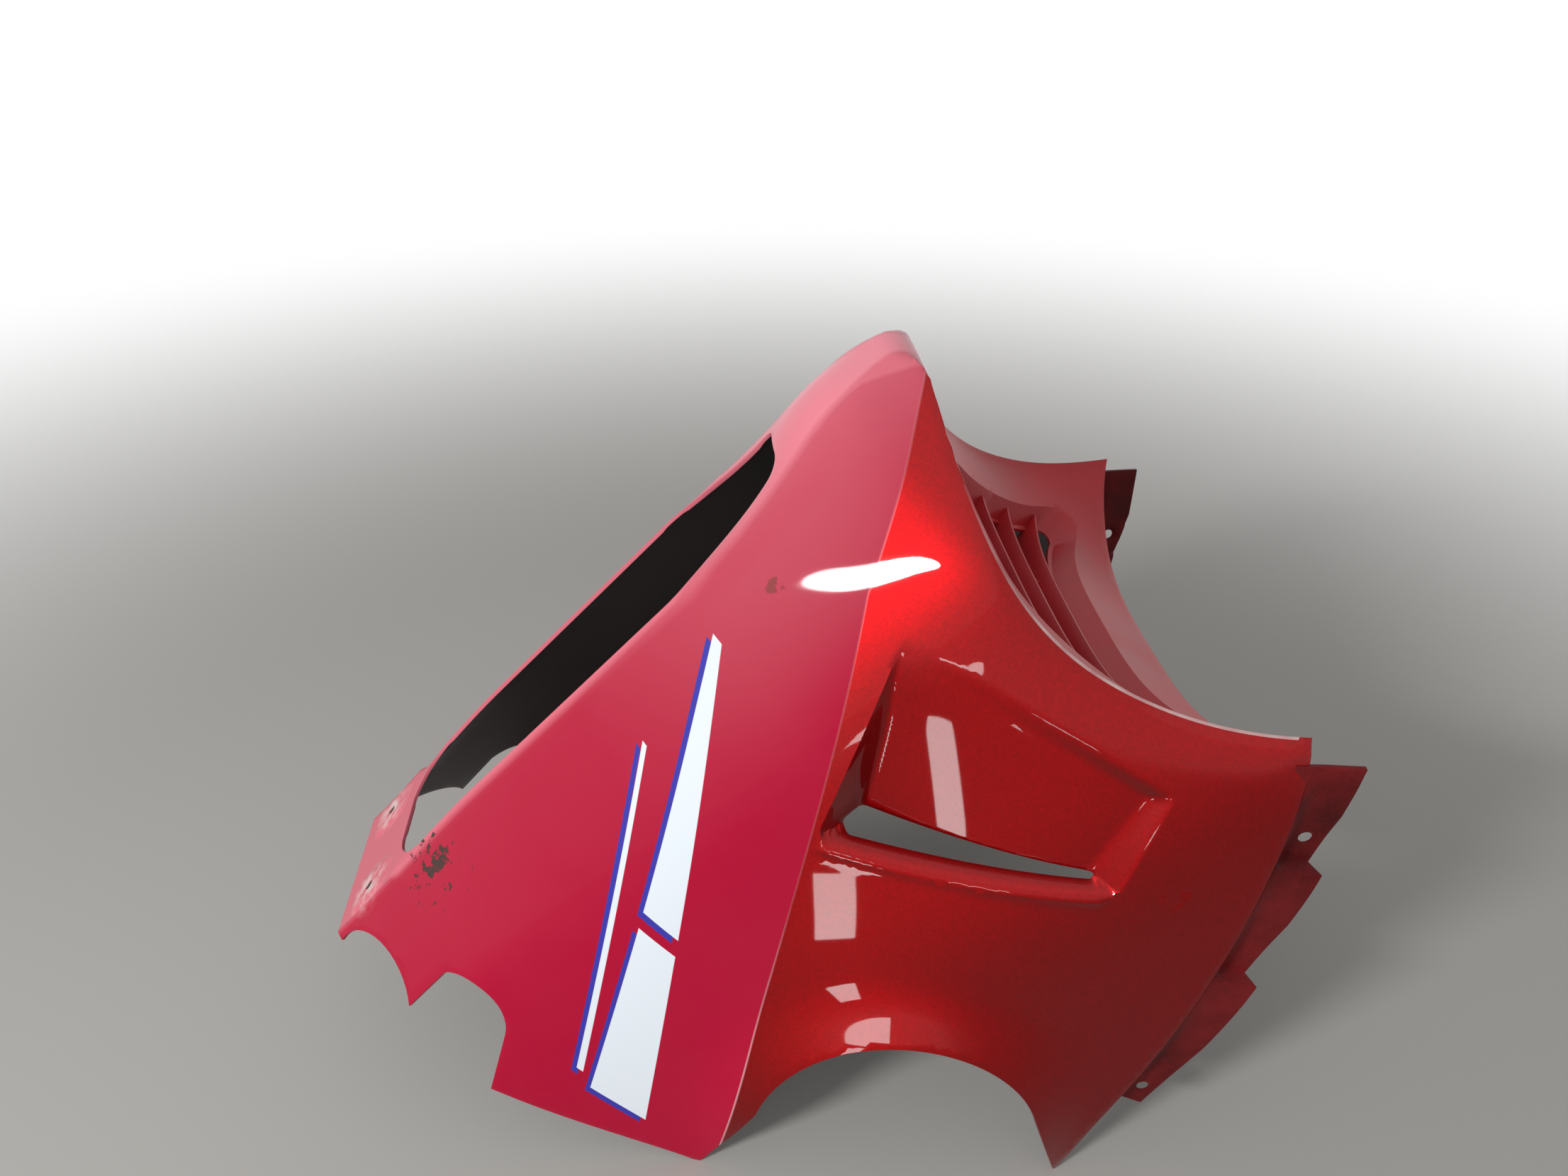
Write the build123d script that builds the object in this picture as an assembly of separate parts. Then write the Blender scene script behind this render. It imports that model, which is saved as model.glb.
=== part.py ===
from build123d import *
from math import atan2, cos, degrees, exp, hypot, pi, radians, sin, sqrt
import os

# Lower fairing (belly cowl) of a sport motorcycle: one thin moulded shell, in millimetres.
# It is drawn in riding position, where a station is the distance behind the chin, a height is
# above the keel line, and y is sideways. At the end it is turned over to stand, chin up, on the
# rear corners of its side panels, with the origin under the middle of its box.

# Shell
WALL = 3.0

# Keel: the flat strip along the bottom
KEEL_LENGTH = 611.0          # chin to the end of the rear plate
STRIP_HALF = 62.0            # half width of the strip
STRIP_HALF_CHIN = 14.0       # half width at the chin
STRIP_TAPER = 210.0          # length over which the strip reaches its full width
CHIN_BELLY = 14.0            # how far the chin hangs below the keel line
CHIN_BELLY_AT = 80.0
CHIN_BELLY_SPREAD = 55.0
CHIN_CROWN_RADIUS = 100.0    # sideways rounding of the chin
CHIN_ROUND = 18.0            # radius of the nose
TAIL_KICK = 8.0              # rise of the rear plate
TAIL_KICK_LENGTH = 180.0

# Side panels: four facets from the strip outwards, each a half width with a lean
LOWER_LEAN = 1.03            # sideways per millimetre of height
MIDDLE_HALF = 46.0
MIDDLE_GROWTH = 0.117        # per millimetre of station
MIDDLE_LEAN = 1.07
MIDDLE_LEAN_LOSS = 0.00125   # per millimetre of station
SHOULDER_HEIGHT = 280.0
SHOULDER_HALF = 203.0
SHOULDER_TAPER = 0.042       # per millimetre of station
UPPER_LEAN = 0.34
UPPER_LEAN_LOSS = 0.00038    # per millimetre of station
RIM_LEAN = 0.07
LOWER_BEND = 14.0            # softness of the bends between the facets
MIDDLE_BEND = 30.0
UPPER_BEND = 16.0

# Front: a hollow for the wheel between the two side panels
HOLLOW_DEPTH = 64.0          # deepest station of the middle line
HOLLOW_HEIGHT = 180.0        # height of that deepest point
HOLLOW_LENGTH = 180.0        # from there down to the chin
HOLLOW_TOP_LENGTH = 240.0    # the same upwards, where it is flatter
TROUGH_DEPTH = 66.0          # how far the front corners stand ahead of the middle
TROUGH_RISE = 3.2            # power of that depth over the height
TROUGH_ROUND = 3.3           # power of the trough across the width

# Outline in side view, as (station, height)
NOSE_CORNER = (-13.0, 283.0)
FRONT_FOOT = (338.0, 474.0)
TOP_EDGE_SAG = 26.0          # bow of the top edge between those two
REAR_FOOT = (521.0, 289.0)
REAR_CORNER = (577.0, 136.0)
NOTCH_TOP = (531.0, 112.0)
NOTCH_DEEP = (516.0, 78.0)
NOTCH_LOW = (536.0, 58.0)
TAIL_POINT = (581.0, 60.0)
BITE_DEEP = (575.0, 30.0)
PLATE_TIP_HEIGHT = 9.0
FOOT_FLAT = 1.5              # trimmed off the feet so that they stand flat

# Arch in the rear edge of each side panel, with a flared lip
ARCH_CENTRE = (395.0, 360.0)
ARCH_RADIUS = 103.0
ARCH_REAR_ANGLE = -64.0      # ends of the round stretch, in degrees
ARCH_FRONT_ANGLE = -205.0
FLARE = 15.0                 # how far the lip stands out
FLARE_WIDTH = 44.0           # from the lip to where it runs out under the skin
FLARE_SKIRT = 10.0           # how far it runs under the skin
FLARE_RISE = 0.3             # slope of the flare at its lip

# Keel slot in plan
SLOT_FRONT = 118.0
SLOT_FRONT_HALF = 28.0
SLOT_FULL_AT = 225.0         # station where the slot reaches its full width
SLOT_HALF = 57.0
SLOT_REAR = 538.0
SLOT_FRONT_ROUND = 18.0
SLOT_REAR_ROUND = 38.0

# Rear plate with two fixing holes on pads
PLATE_HOLE_STATION = 575.0
PLATE_HOLE_Y = 42.0
PLATE_HOLE_RADIUS = 4.0
PAD_LENGTH = 44.0
PAD_WIDTH = 34.0
PAD_HEIGHT = 1.6
PAD_ROUND = 6.0

# Side vent: a flat recess that sinks from its ridge to an open slit behind its lip
VENT_RIDGE_LOW = (114.0, 83.0)
VENT_LIP_REAR = (254.0, 142.0)
VENT_LIP_FRONT = (140.0, 293.0)
VENT_RIDGE_HIGH = (66.0, 256.0)
VENT_SLOPE = 0.25            # depth per millimetre from the ridge
VENT_SLIT = 9.0              # gap between the recess floor and the lip
VENT_ROUND = 8.0
LIP_DEPTH = 9.0              # turned-in edge of the lip

# Grille in the hollow front
GRILLE_TOP = 272.0
GRILLE_LENGTH = 150.0
GRILLE_HALF_TOP = 146.0
GRILLE_HALF_LOW = 94.0
GRILLE_ROUND = 20.0
GRILLE_STATION = 50.0        # station where the opening has these sizes
BEVEL_DEPTH = 15.0
BEVEL_WIDTH = 9.0
RIM_WIDTH = 4.0              # narrow floor of the bevelled rim
SLAT_PITCH = 31.0
SLAT_THICKNESS = 2.6
SLAT_DEPTH = 22.0
SLAT_SET_BACK = 5.0
RIB_Y = 50.0
RIB_THICKNESS = 2.6
RIB_DEPTH = 12.0

# Mounting flange along the top edge: three plates that sink in, with a ledge after each
FLANGE_STATIONS = (-4.0, 56.0, 138.0, 264.0)
FLANGE_WIDTH = 33.0
FLANGE_NARROWING = 6.0       # loss of width towards the end of each plate
FLANGE_STEP = 9.0            # how far each plate sinks in
FLANGE_START = 1.4           # inset where a plate starts
FLANGE_LAP = 8.0             # overlap under the skin
FLANGE_JOGGLE = 10.0         # length of the bend behind the skin's edge
TAB_HOLE_RADIUS = 4.3
TAB_HOLE_EDGE = 15.0         # hole to the end of its plate
TAB_HOLE_UP = 18.0           # hole to the skin's edge

# Working blocks and surfaces
REACH = 300.0
MARGIN = 45.0
FINE = 24                    # spans along the keel
COARSE = 18                  # spans in the other directions


def soft_min(first, second, blend):
    """Smaller of two values, rounded where they come within the blend of each other."""
    closeness = max(blend - abs(first - second), 0.0) / blend
    return min(first, second) - closeness**3 * blend / 6


def soft_max(first, second, blend):
    return -soft_min(-first, -second, blend)


def ease(value):
    """Smooth step from 0 to 1."""
    value = min(max(value, 0.0), 1.0)
    return value * value * (3 - 2 * value)


def spread(low, high, spans):
    return [low + (high - low) * i / spans for i in range(spans + 1)]


def keel_height(station, y=0.0):
    belly = exp(-(((station - CHIN_BELLY_AT) / CHIN_BELLY_SPREAD) ** 2))
    kick = TAIL_KICK * ease((station - KEEL_LENGTH + TAIL_KICK_LENGTH) / TAIL_KICK_LENGTH)
    return kick - TAIL_KICK / 2 - belly * (CHIN_BELLY - y * y / (2 * CHIN_CROWN_RADIUS))


def strip_half(station):
    share = sin(pi / 2 * min(max(station / STRIP_TAPER, -1.0), 1.0))
    return STRIP_HALF_CHIN + (STRIP_HALF - STRIP_HALF_CHIN) * share


def half_width(station, height):
    """Half width of the outer skin."""
    shoulder = SHOULDER_HALF - SHOULDER_TAPER * station
    lower = strip_half(station) + LOWER_LEAN * (height - keel_height(station))
    middle = MIDDLE_HALF + MIDDLE_GROWTH * station
    middle += (MIDDLE_LEAN - MIDDLE_LEAN_LOSS * station) * height
    upper = shoulder + (UPPER_LEAN - UPPER_LEAN_LOSS * station) * (height - SHOULDER_HEIGHT)
    rim = shoulder + RIM_LEAN * (height - SHOULDER_HEIGHT)
    skin = soft_min(lower, middle, LOWER_BEND)
    skin = soft_min(skin, upper, MIDDLE_BEND)
    return soft_min(skin, rim, UPPER_BEND)


def hollow_station(height, y):
    """Station of the front panel's outer face."""
    length = HOLLOW_LENGTH if height < HOLLOW_HEIGHT else HOLLOW_TOP_LENGTH
    middle = HOLLOW_DEPTH * (1 - ((height - HOLLOW_HEIGHT) / length) ** 2)
    depth = TROUGH_DEPTH * (max(height, 0.0) / NOSE_CORNER[1]) ** TROUGH_RISE
    edge = max(half_width(middle, height), STRIP_HALF_CHIN)
    return middle - depth * (abs(y) / edge) ** TROUGH_ROUND


def slant(shape, first, second):
    """Length of a step square to a height field, per unit of its value."""
    step = 0.5
    slope_first = (shape(first + step, second) - shape(first - step, second)) / (2 * step)
    slope_second = (shape(first, second + step) - shape(first, second - step)) / (2 * step)
    return sqrt(1 + slope_first**2 + slope_second**2)


def surface(point, firsts, seconds):
    rows = [[point(first, second) for second in seconds] for first in firsts]
    return Face.make_surface_from_array_of_points(rows, tol=0.1, min_deg=3, max_deg=3)


def skin_point(station, height, inset):
    y = half_width(station, height) - inset * slant(half_width, station, height)
    return (-station, soft_max(y, 4.0, 24.0), height)


def outside(inset):
    """Region outside the skin of the +Y side panel, moved in by the inset."""
    stations = spread(-2 * MARGIN, KEEL_LENGTH + MARGIN, FINE)
    heights = spread(-MARGIN, FRONT_FOOT[1] + 2 * MARGIN, COARSE)
    face = surface(lambda s, h: skin_point(s, h, inset), stations, heights)
    return extrude(face, amount=2 * REACH, dir=(0, 1, 0))


def below(inset):
    """Region under the keel strip."""
    stations = spread(-2 * MARGIN, KEEL_LENGTH + MARGIN, FINE)
    widths = spread(-2 * STRIP_HALF, 2 * STRIP_HALF, COARSE // 2)
    face = surface(lambda s, y: (-s, y, keel_height(s, y) + inset), stations, widths)
    return extrude(face, amount=REACH, dir=(0, 0, -1))


def ahead(inset):
    """Region in front of the hollow front panel."""

    def point(height, y):
        return (-hollow_station(height, y) - inset * slant(hollow_station, height, y), y, height)

    width = SHOULDER_HALF + MARGIN
    heights = spread(-MARGIN, NOSE_CORNER[1] + 2 * MARGIN, COARSE)
    face = surface(point, heights, spread(-width, width, COARSE))
    return extrude(face, amount=REACH, dir=(1, 0, 0))


def chin_corner(inset):
    """Sharp tip of the chin that is left off so that the nose is round."""
    bottom = (CHIN_BELLY_AT, keel_height(CHIN_BELLY_AT))
    start = (hollow_station(0.0, 0.0), keel_height(0.0))
    top = (hollow_station(CHIN_BELLY_AT, 0.0), CHIN_BELLY_AT)
    back = atan2(bottom[1] - start[1], bottom[0] - start[0])
    up = atan2(top[1] - start[1], top[0] - start[0])
    half = (up - back) / 2
    middle = back + half
    far = CHIN_ROUND / sin(half)
    centre = (start[0] + far * cos(middle), start[1] + far * sin(middle))
    radius = CHIN_ROUND - inset
    low = arc_point(centre, radius, degrees(back) - 90)
    tip = arc_point(centre, radius, degrees(middle) - 180)
    high = arc_point(centre, radius, degrees(up) + 90)
    ahead_of = arc_point(centre, 4 * CHIN_ROUND, degrees(middle) - 180)
    under = arc_point(low, 3 * CHIN_ROUND, degrees(back) - 90)
    before = arc_point(high, 3 * CHIN_ROUND, degrees(up) + 90)
    to_view = lambda p: (-p[0], -REACH / 2, p[1])
    edges = ThreePointArc(*map(to_view, [low, tip, high]))
    edges += Polyline(*map(to_view, [high, before, ahead_of, under, low]))
    return extrude(make_face(edges), amount=REACH, dir=(0, 1, 0))


def mirrored(solid):
    return mirror(solid, about=Plane.XZ)


def side_prism(points, near, far, rounding=0.0):
    """Solid over a side-view outline of (station, height) points, between two values of y."""
    wire = FilletPolyline(*[(-s, near, h) for s, h in points], radius=rounding, close=True)
    return extrude(make_face(wire), amount=far - near, dir=(0, 1, 0))


def shifted(points, distances):
    """Corners of a polygon after each edge, starting at its first corner, moves outwards."""
    edges = []
    for i, start in enumerate(points):
        end = points[(i + 1) % len(points)]
        length = hypot(end[0] - start[0], end[1] - start[1])
        along = ((end[0] - start[0]) / length, (end[1] - start[1]) / length)
        across = (along[1], -along[0])
        corner = (start[0] + across[0] * distances[i], start[1] + across[1] * distances[i])
        edges.append((corner, along))
    corners = []
    for i, (corner, along) in enumerate(edges):
        base, before = edges[i - 1]
        turn = before[0] * along[1] - before[1] * along[0]
        gap = (corner[0] - base[0], corner[1] - base[1])
        run = (gap[0] * along[1] - gap[1] * along[0]) / turn
        corners.append((base[0] + before[0] * run, base[1] + before[1] * run))
    return corners


def arc_point(centre, radius, angle):
    return (centre[0] + radius * cos(radians(angle)), centre[1] + radius * sin(radians(angle)))


def top_edge_circle():
    """Centre and radius of the bowed top edge of the side panels."""
    run = FRONT_FOOT[0] - NOSE_CORNER[0]
    rise = FRONT_FOOT[1] - NOSE_CORNER[1]
    chord = hypot(run, rise)
    radius = (chord**2 / 4 + TOP_EDGE_SAG**2) / (2 * TOP_EDGE_SAG)
    drop = radius - TOP_EDGE_SAG
    middle = ((NOSE_CORNER[0] + FRONT_FOOT[0]) / 2, (NOSE_CORNER[1] + FRONT_FOOT[1]) / 2)
    return (middle[0] + drop * rise / chord, middle[1] - drop * run / chord), radius


def top_edge(station, out=0.0):
    """Point on the top edge at a station, moved outwards from the edge."""
    centre, radius = top_edge_circle()
    across = (station - centre[0]) / radius
    up = sqrt(1 - across**2)
    return (station + across * out, centre[1] + up * (radius + out))


def outline_block():
    """Solid block with the side-view outline of the fairing."""
    to_view = lambda p: (-p[0], -REACH, p[1])
    arch = [
        arc_point(ARCH_CENTRE, ARCH_RADIUS, angle)
        for angle in spread(ARCH_REAR_ANGLE, ARCH_FRONT_ANGLE, 2)
    ]
    chord_slope = (FRONT_FOOT[1] - NOSE_CORNER[1]) / (FRONT_FOOT[0] - NOSE_CORNER[0])
    front = -MARGIN * 1.5
    front_top = (front, NOSE_CORNER[1] + chord_slope * (front - NOSE_CORNER[0]))
    low = -MARGIN / 1.5
    plate_end = (KEEL_LENGTH, PLATE_TIP_HEIGHT)
    middle = top_edge((NOSE_CORNER[0] + FRONT_FOOT[0]) / 2)
    edges = Polyline(*map(to_view, [front_top, (front, low), (KEEL_LENGTH, low), plate_end]))
    edges += ThreePointArc(*map(to_view, [plate_end, BITE_DEEP, TAIL_POINT]))
    edges += Line(to_view(TAIL_POINT), to_view(NOTCH_LOW))
    edges += ThreePointArc(*map(to_view, [NOTCH_LOW, NOTCH_DEEP, NOTCH_TOP]))
    edges += Polyline(*map(to_view, [NOTCH_TOP, REAR_CORNER, REAR_FOOT, arch[0]]))
    edges += ThreePointArc(*map(to_view, arch))
    edges += Line(to_view(arch[2]), to_view(FRONT_FOOT))
    edges += ThreePointArc(*map(to_view, [FRONT_FOOT, middle, NOSE_CORNER]))
    edges += Line(to_view(NOSE_CORNER), to_view(front_top))
    return extrude(make_face(edges), amount=2 * REACH, dir=(0, 1, 0))


def flare(inset):
    """Low dome around the arch that gives the skin its flared lip."""
    station, height = ARCH_CENTRE
    step = 1.0
    lean_back = (half_width(station + step, height) - half_width(station, height)) / step
    lean_up = (half_width(station, height + step) - half_width(station, height)) / step
    origin = (-station, half_width(station, height), height)
    frame = Plane(origin, x_dir=(0, 0, 1), z_dir=(lean_back, 1, -lean_up))
    foot = (ARCH_RADIUS + FLARE_WIDTH - inset, 0, -FLARE_SKIRT - inset)
    top = (ARCH_RADIUS - inset, 0, FLARE - inset)
    sunk = -2 * FLARE_SKIRT
    section = TangentArc(top, foot, tangent=(1, 0, -FLARE_RISE))
    section += Polyline(top, (0, 0, FLARE - inset), (0, 0, sunk), (foot[0], 0, sunk), foot)
    return frame * revolve(make_face(section), Axis.Z)


def vent_depth(station, height):
    """Depth of the vent floor below the skin, from its ridge line."""
    run = VENT_RIDGE_HIGH[0] - VENT_RIDGE_LOW[0]
    rise = VENT_RIDGE_HIGH[1] - VENT_RIDGE_LOW[1]
    away = (station - VENT_RIDGE_LOW[0]) * rise - (height - VENT_RIDGE_LOW[1]) * run
    return VENT_SLOPE * away / hypot(run, rise)


def vent_air(inset):
    """Space of the side vent; the inset gives the recess its walls and ends its floor."""
    corners = [VENT_RIDGE_LOW, VENT_LIP_REAR, VENT_LIP_FRONT, VENT_RIDGE_HIGH]
    at_lip = -VENT_SLIT if inset else 0.0
    outline = shifted(corners, [inset, at_lip, inset, MARGIN / 3])
    stations = [corner[0] for corner in corners]
    heights = [corner[1] for corner in corners]

    def floor(station, height):
        x, y, z = skin_point(station, height, inset)
        return (x, y - vent_depth(station, height), z)

    face = surface(
        floor,
        spread(min(stations) - MARGIN, max(stations) + MARGIN, COARSE // 2),
        spread(min(heights) - MARGIN, max(heights) + MARGIN, COARSE // 2),
    )
    above_floor = extrude(face, amount=REACH, dir=(0, 1, 0))
    return above_floor & side_prism(outline, 0, REACH, VENT_ROUND)


def vent_lip():
    """Turned-in edge along the lip of the side vent."""
    rear, front = VENT_LIP_REAR, VENT_LIP_FRONT
    length = hypot(front[0] - rear[0], front[1] - rear[1])
    along = ((front[0] - rear[0]) / length, (front[1] - rear[1]) / length)
    across = (along[1] * WALL, -along[0] * WALL)
    start = (rear[0] + along[0] * VENT_ROUND, rear[1] + along[1] * VENT_ROUND)
    end = (front[0] - along[0] * VENT_ROUND, front[1] - along[1] * VENT_ROUND)
    strip = [start, end, (end[0] + across[0], end[1] + across[1])]
    strip.append((start[0] + across[0], start[1] + across[1]))
    face = surface(
        lambda s, h: skin_point(s, h, WALL / 2),
        spread(front[0] - MARGIN, rear[0] + MARGIN, COARSE // 2),
        spread(rear[1] - MARGIN, front[1] + MARGIN, COARSE // 2),
    )
    layer = extrude(face, amount=LIP_DEPTH, dir=(0, -1, 0))
    return layer & side_prism(strip, 0, REACH)


def grille_cone(growth, start, end):
    """Tapered space of the grille opening between two stations."""
    low = GRILLE_TOP - GRILLE_LENGTH
    taper = BEVEL_WIDTH / BEVEL_DEPTH
    wires = []
    for station in (start, end):
        more = growth + (GRILLE_STATION - station) * taper
        corners = [
            (-GRILLE_HALF_LOW, low),
            (GRILLE_HALF_LOW, low),
            (GRILLE_HALF_TOP, GRILLE_TOP),
            (-GRILLE_HALF_TOP, GRILLE_TOP),
        ]
        points = [(-station, y, h) for y, h in shifted(corners, [more] * 4)]
        wires.append(FilletPolyline(*points, radius=GRILLE_ROUND, close=True).wire())
    return Solid.make_loft(wires, ruled=True)


def grille_air(inset):
    """Bevelled recess around the grille."""
    cone = grille_cone(inset, 0.0, GRILLE_STATION + 2 * BEVEL_DEPTH)
    return cone & ahead(BEVEL_DEPTH + inset)


def grille_bars():
    """Slats across the opening and the ribs that tie them."""
    cone = grille_cone(WALL / 2 - RIM_WIDTH, 0.0, GRILLE_STATION + BEVEL_DEPTH + SLAT_DEPTH)
    back = ahead(SLAT_SET_BACK + SLAT_DEPTH)
    bed = (cone & back) - ahead(SLAT_SET_BACK)
    rib_bed = (cone & back) - ahead(SLAT_SET_BACK + SLAT_DEPTH - RIB_DEPTH)
    count = int((GRILLE_LENGTH - SLAT_PITCH / 2) / SLAT_PITCH)
    bars = []
    for i in range(count):
        height = GRILLE_TOP - SLAT_PITCH * (i + 1)
        bars.append(bed & Pos(-GRILLE_STATION, 0, height) * Box(REACH, 2 * REACH, SLAT_THICKNESS))
    for y in (-RIB_Y, RIB_Y):
        bars.append(rib_bed & Pos(-GRILLE_STATION, y, 0) * Box(REACH, RIB_THICKNESS, 4 * REACH))
    return bars


def flange_point(station, height, start, end):
    """Point on the outer face of a flange plate that runs between two stations."""
    x, y, z = skin_point(station, height, FLANGE_START)
    centre, radius = top_edge_circle()
    out = hypot(station - centre[0], height - centre[1]) - radius
    sunk = FLANGE_STEP * ease((station - start + FLANGE_LAP) / (end - start))
    return (x, y - sunk * ease(out / FLANGE_JOGGLE), z)


def flange_plate(start, end):
    """One plate of the mounting flange, from flush at its start to sunk at its end."""
    stations = spread(start, end, 2)
    inner = [top_edge(s, -FLANGE_LAP) for s in stations]
    outer = [top_edge(s, FLANGE_WIDTH) for s in stations[:2]]
    outer.append(top_edge(end, FLANGE_WIDTH - FLANGE_NARROWING))
    face = surface(
        lambda s, out: flange_point(*top_edge(s, out), start, end),
        spread(start - MARGIN, end + MARGIN, COARSE),
        spread(-2 * FLANGE_LAP, FLANGE_WIDTH + FLANGE_LAP, COARSE),
    )
    plate = extrude(face, amount=WALL, dir=(0, -1, 0))
    return plate & side_prism(inner + outer[::-1], 0, REACH)


def flange_ledge(station):
    """Short wall across the flange, from a sunk plate up to the start of the next."""
    inner = top_edge(station - WALL / 2, -FLANGE_LAP)
    corners = [inner, top_edge(station + WALL, -FLANGE_LAP)]
    corners.append(top_edge(station + WALL, FLANGE_WIDTH - FLANGE_NARROWING))
    corners.append(top_edge(station - WALL / 2, FLANGE_WIDTH - FLANGE_NARROWING))
    top = skin_point(*top_edge(station, FLANGE_WIDTH / 2), FLANGE_START)[1] - WALL / 4
    return side_prism(corners, top - FLANGE_STEP - WALL / 2, top)


def flange_hole(start, end):
    """Fixing hole near the end of a flange plate, square to the plate."""
    station, height = top_edge(end - TAB_HOLE_EDGE, TAB_HOLE_UP)
    middle = Vector(flange_point(station, height, start, end))
    back = Vector(flange_point(station + 1, height, start, end)) - middle
    up = Vector(flange_point(station, height + 1, start, end)) - middle
    return Plane(middle, z_dir=back.cross(up)) * Cylinder(TAB_HOLE_RADIUS, MARGIN)


def flange():
    ends = list(zip(FLANGE_STATIONS, FLANGE_STATIONS[1:]))
    plates = [flange_plate(*pair) for pair in ends]
    ledges = [flange_ledge(station) for station in FLANGE_STATIONS[1:-1]]
    holes = [flange_hole(*ends[0]), flange_hole(*ends[2])]
    return plates + ledges, holes


def keel_slot():
    points = [(SLOT_FRONT, SLOT_FRONT_HALF), (SLOT_FULL_AT, SLOT_HALF), (SLOT_REAR, SLOT_HALF)]
    radii = [SLOT_FRONT_ROUND, 4 * SLOT_FRONT_ROUND, SLOT_REAR_ROUND]
    around = points + [(s, -y) for s, y in reversed(points)]
    corners = [(-s, y, -REACH) for s, y in around]
    wire = FilletPolyline(*corners, radius=radii + radii[::-1], close=True)
    return extrude(make_face(wire), amount=REACH + MARGIN, dir=(0, 0, 1))


def plate_pad():
    """Raised pad around a hole of the rear plate."""
    height = keel_height(PLATE_HOLE_STATION)
    pad = RectangleRounded(PAD_LENGTH, PAD_WIDTH, PAD_ROUND)
    base = Pos(-PLATE_HOLE_STATION, PLATE_HOLE_Y, height - PAD_HEIGHT)
    return base * extrude(pad, amount=PAD_HEIGHT + WALL * 0.7)


def plate_hole():
    return Pos(-PLATE_HOLE_STATION, PLATE_HOLE_Y, 0) * Cylinder(PLATE_HOLE_RADIUS, 4 * MARGIN)


def both(solid):
    return [solid, mirrored(solid)]


def shell():
    """Outer form minus inner form, each with the vents, flares and grille rim."""
    block = outline_block()
    outer = block
    for tool in both(outside(0)) + [below(0), ahead(0), chin_corner(0)]:
        outer -= tool
    outer += both(flare(0) & block)
    outer -= both(vent_air(0))
    outer -= grille_air(0)

    centre = Pos(-KEEL_LENGTH / 2, 0, FRONT_FOOT[1] / 2)
    inner = centre * Box(KEEL_LENGTH + 1.5 * MARGIN, 1.9 * REACH, FRONT_FOOT[1] + 1.4 * MARGIN)
    slope = (FRONT_FOOT[1] - NOSE_CORNER[1]) / (FRONT_FOOT[0] - NOSE_CORNER[0])
    rim = [(s, NOSE_CORNER[1] + slope * (s - NOSE_CORNER[0])) for s in (-2 * REACH, REACH)]
    above_rim = side_prism(rim + [(REACH, 3 * REACH), (-2 * REACH, 3 * REACH)], -REACH, REACH)
    front = ahead(WALL) - above_rim
    for tool in both(outside(WALL)) + [below(WALL), front, chin_corner(WALL)]:
        inner -= tool
    inner += both(flare(WALL))
    inner -= both(vent_air(WALL))
    inner -= grille_air(WALL)
    return outer - inner


def riding_fairing():
    body = shell()
    body -= keel_slot()
    body -= grille_cone(-RIM_WIDTH, 0.0, GRILLE_STATION + 3 * BEVEL_DEPTH)
    body += grille_bars()
    plates, holes = flange()
    for piece in plates + [vent_lip(), plate_pad()]:
        for copy in both(piece):
            body += copy
    for hole in holes + [plate_hole()]:
        body -= both(hole)
    return body


def standing(body):
    """Turn the fairing over onto its feet and put the origin under the middle of its box."""
    lean = atan2(FRONT_FOOT[1] - REAR_FOOT[1], REAR_FOOT[0] - FRONT_FOOT[0])
    body = Rot(0, -degrees(lean), 0) * (Rot(180, 0, 0) * body)
    floor = FOOT_FLAT - REAR_FOOT[0] * sin(lean) - REAR_FOOT[1] * cos(lean)
    body = Pos(-body.bounding_box().center().X, 0, -floor) * body
    return body - Pos(0, 0, -REACH) * Box(4 * REACH, 4 * REACH, 2 * REACH)


fairing = standing(riding_fairing())
os.makedirs("parts", exist_ok=True)
export_step(fairing, "parts/fairing_shell.step")
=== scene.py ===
from math import atan2, ceil, cos, exp, hypot, log, pi, radians, sin, sqrt

import bmesh
import bpy
import numpy as np
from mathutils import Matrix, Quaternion, Vector
from mathutils.geometry import delaunay_2d_cdt
from mathutils.kdtree import KDTree


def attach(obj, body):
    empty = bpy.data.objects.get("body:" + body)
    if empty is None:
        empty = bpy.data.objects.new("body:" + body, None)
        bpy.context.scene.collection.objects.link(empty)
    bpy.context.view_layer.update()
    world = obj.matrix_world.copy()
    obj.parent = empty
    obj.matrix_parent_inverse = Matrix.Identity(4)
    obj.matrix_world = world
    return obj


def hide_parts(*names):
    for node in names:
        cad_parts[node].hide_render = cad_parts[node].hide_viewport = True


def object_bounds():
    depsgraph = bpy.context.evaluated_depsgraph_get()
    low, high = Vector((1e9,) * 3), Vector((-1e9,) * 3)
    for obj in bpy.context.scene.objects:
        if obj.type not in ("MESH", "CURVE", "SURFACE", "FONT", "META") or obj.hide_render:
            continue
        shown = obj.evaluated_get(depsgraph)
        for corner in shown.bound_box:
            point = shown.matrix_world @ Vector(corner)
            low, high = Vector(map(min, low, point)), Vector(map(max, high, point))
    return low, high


# Sizes in millimetres, as in the part's source: a station is the distance behind the chin in
# riding position, a height is above the keel line, and y is sideways.
MM = 0.001
WALL = 3.0
# Keel strip, with the belly and the round of the chin and the kick of the tail
KEEL_LENGTH = 611.0
STRIP_HALF, STRIP_HALF_CHIN, STRIP_TAPER = 62.0, 14.0, 210.0
CHIN_BELLY, CHIN_BELLY_AT, CHIN_BELLY_SPREAD, CHIN_CROWN_RADIUS = 14.0, 80.0, 55.0, 100.0
CHIN_ROUND = 18.0
TAIL_KICK, TAIL_KICK_LENGTH = 8.0, 180.0
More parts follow.
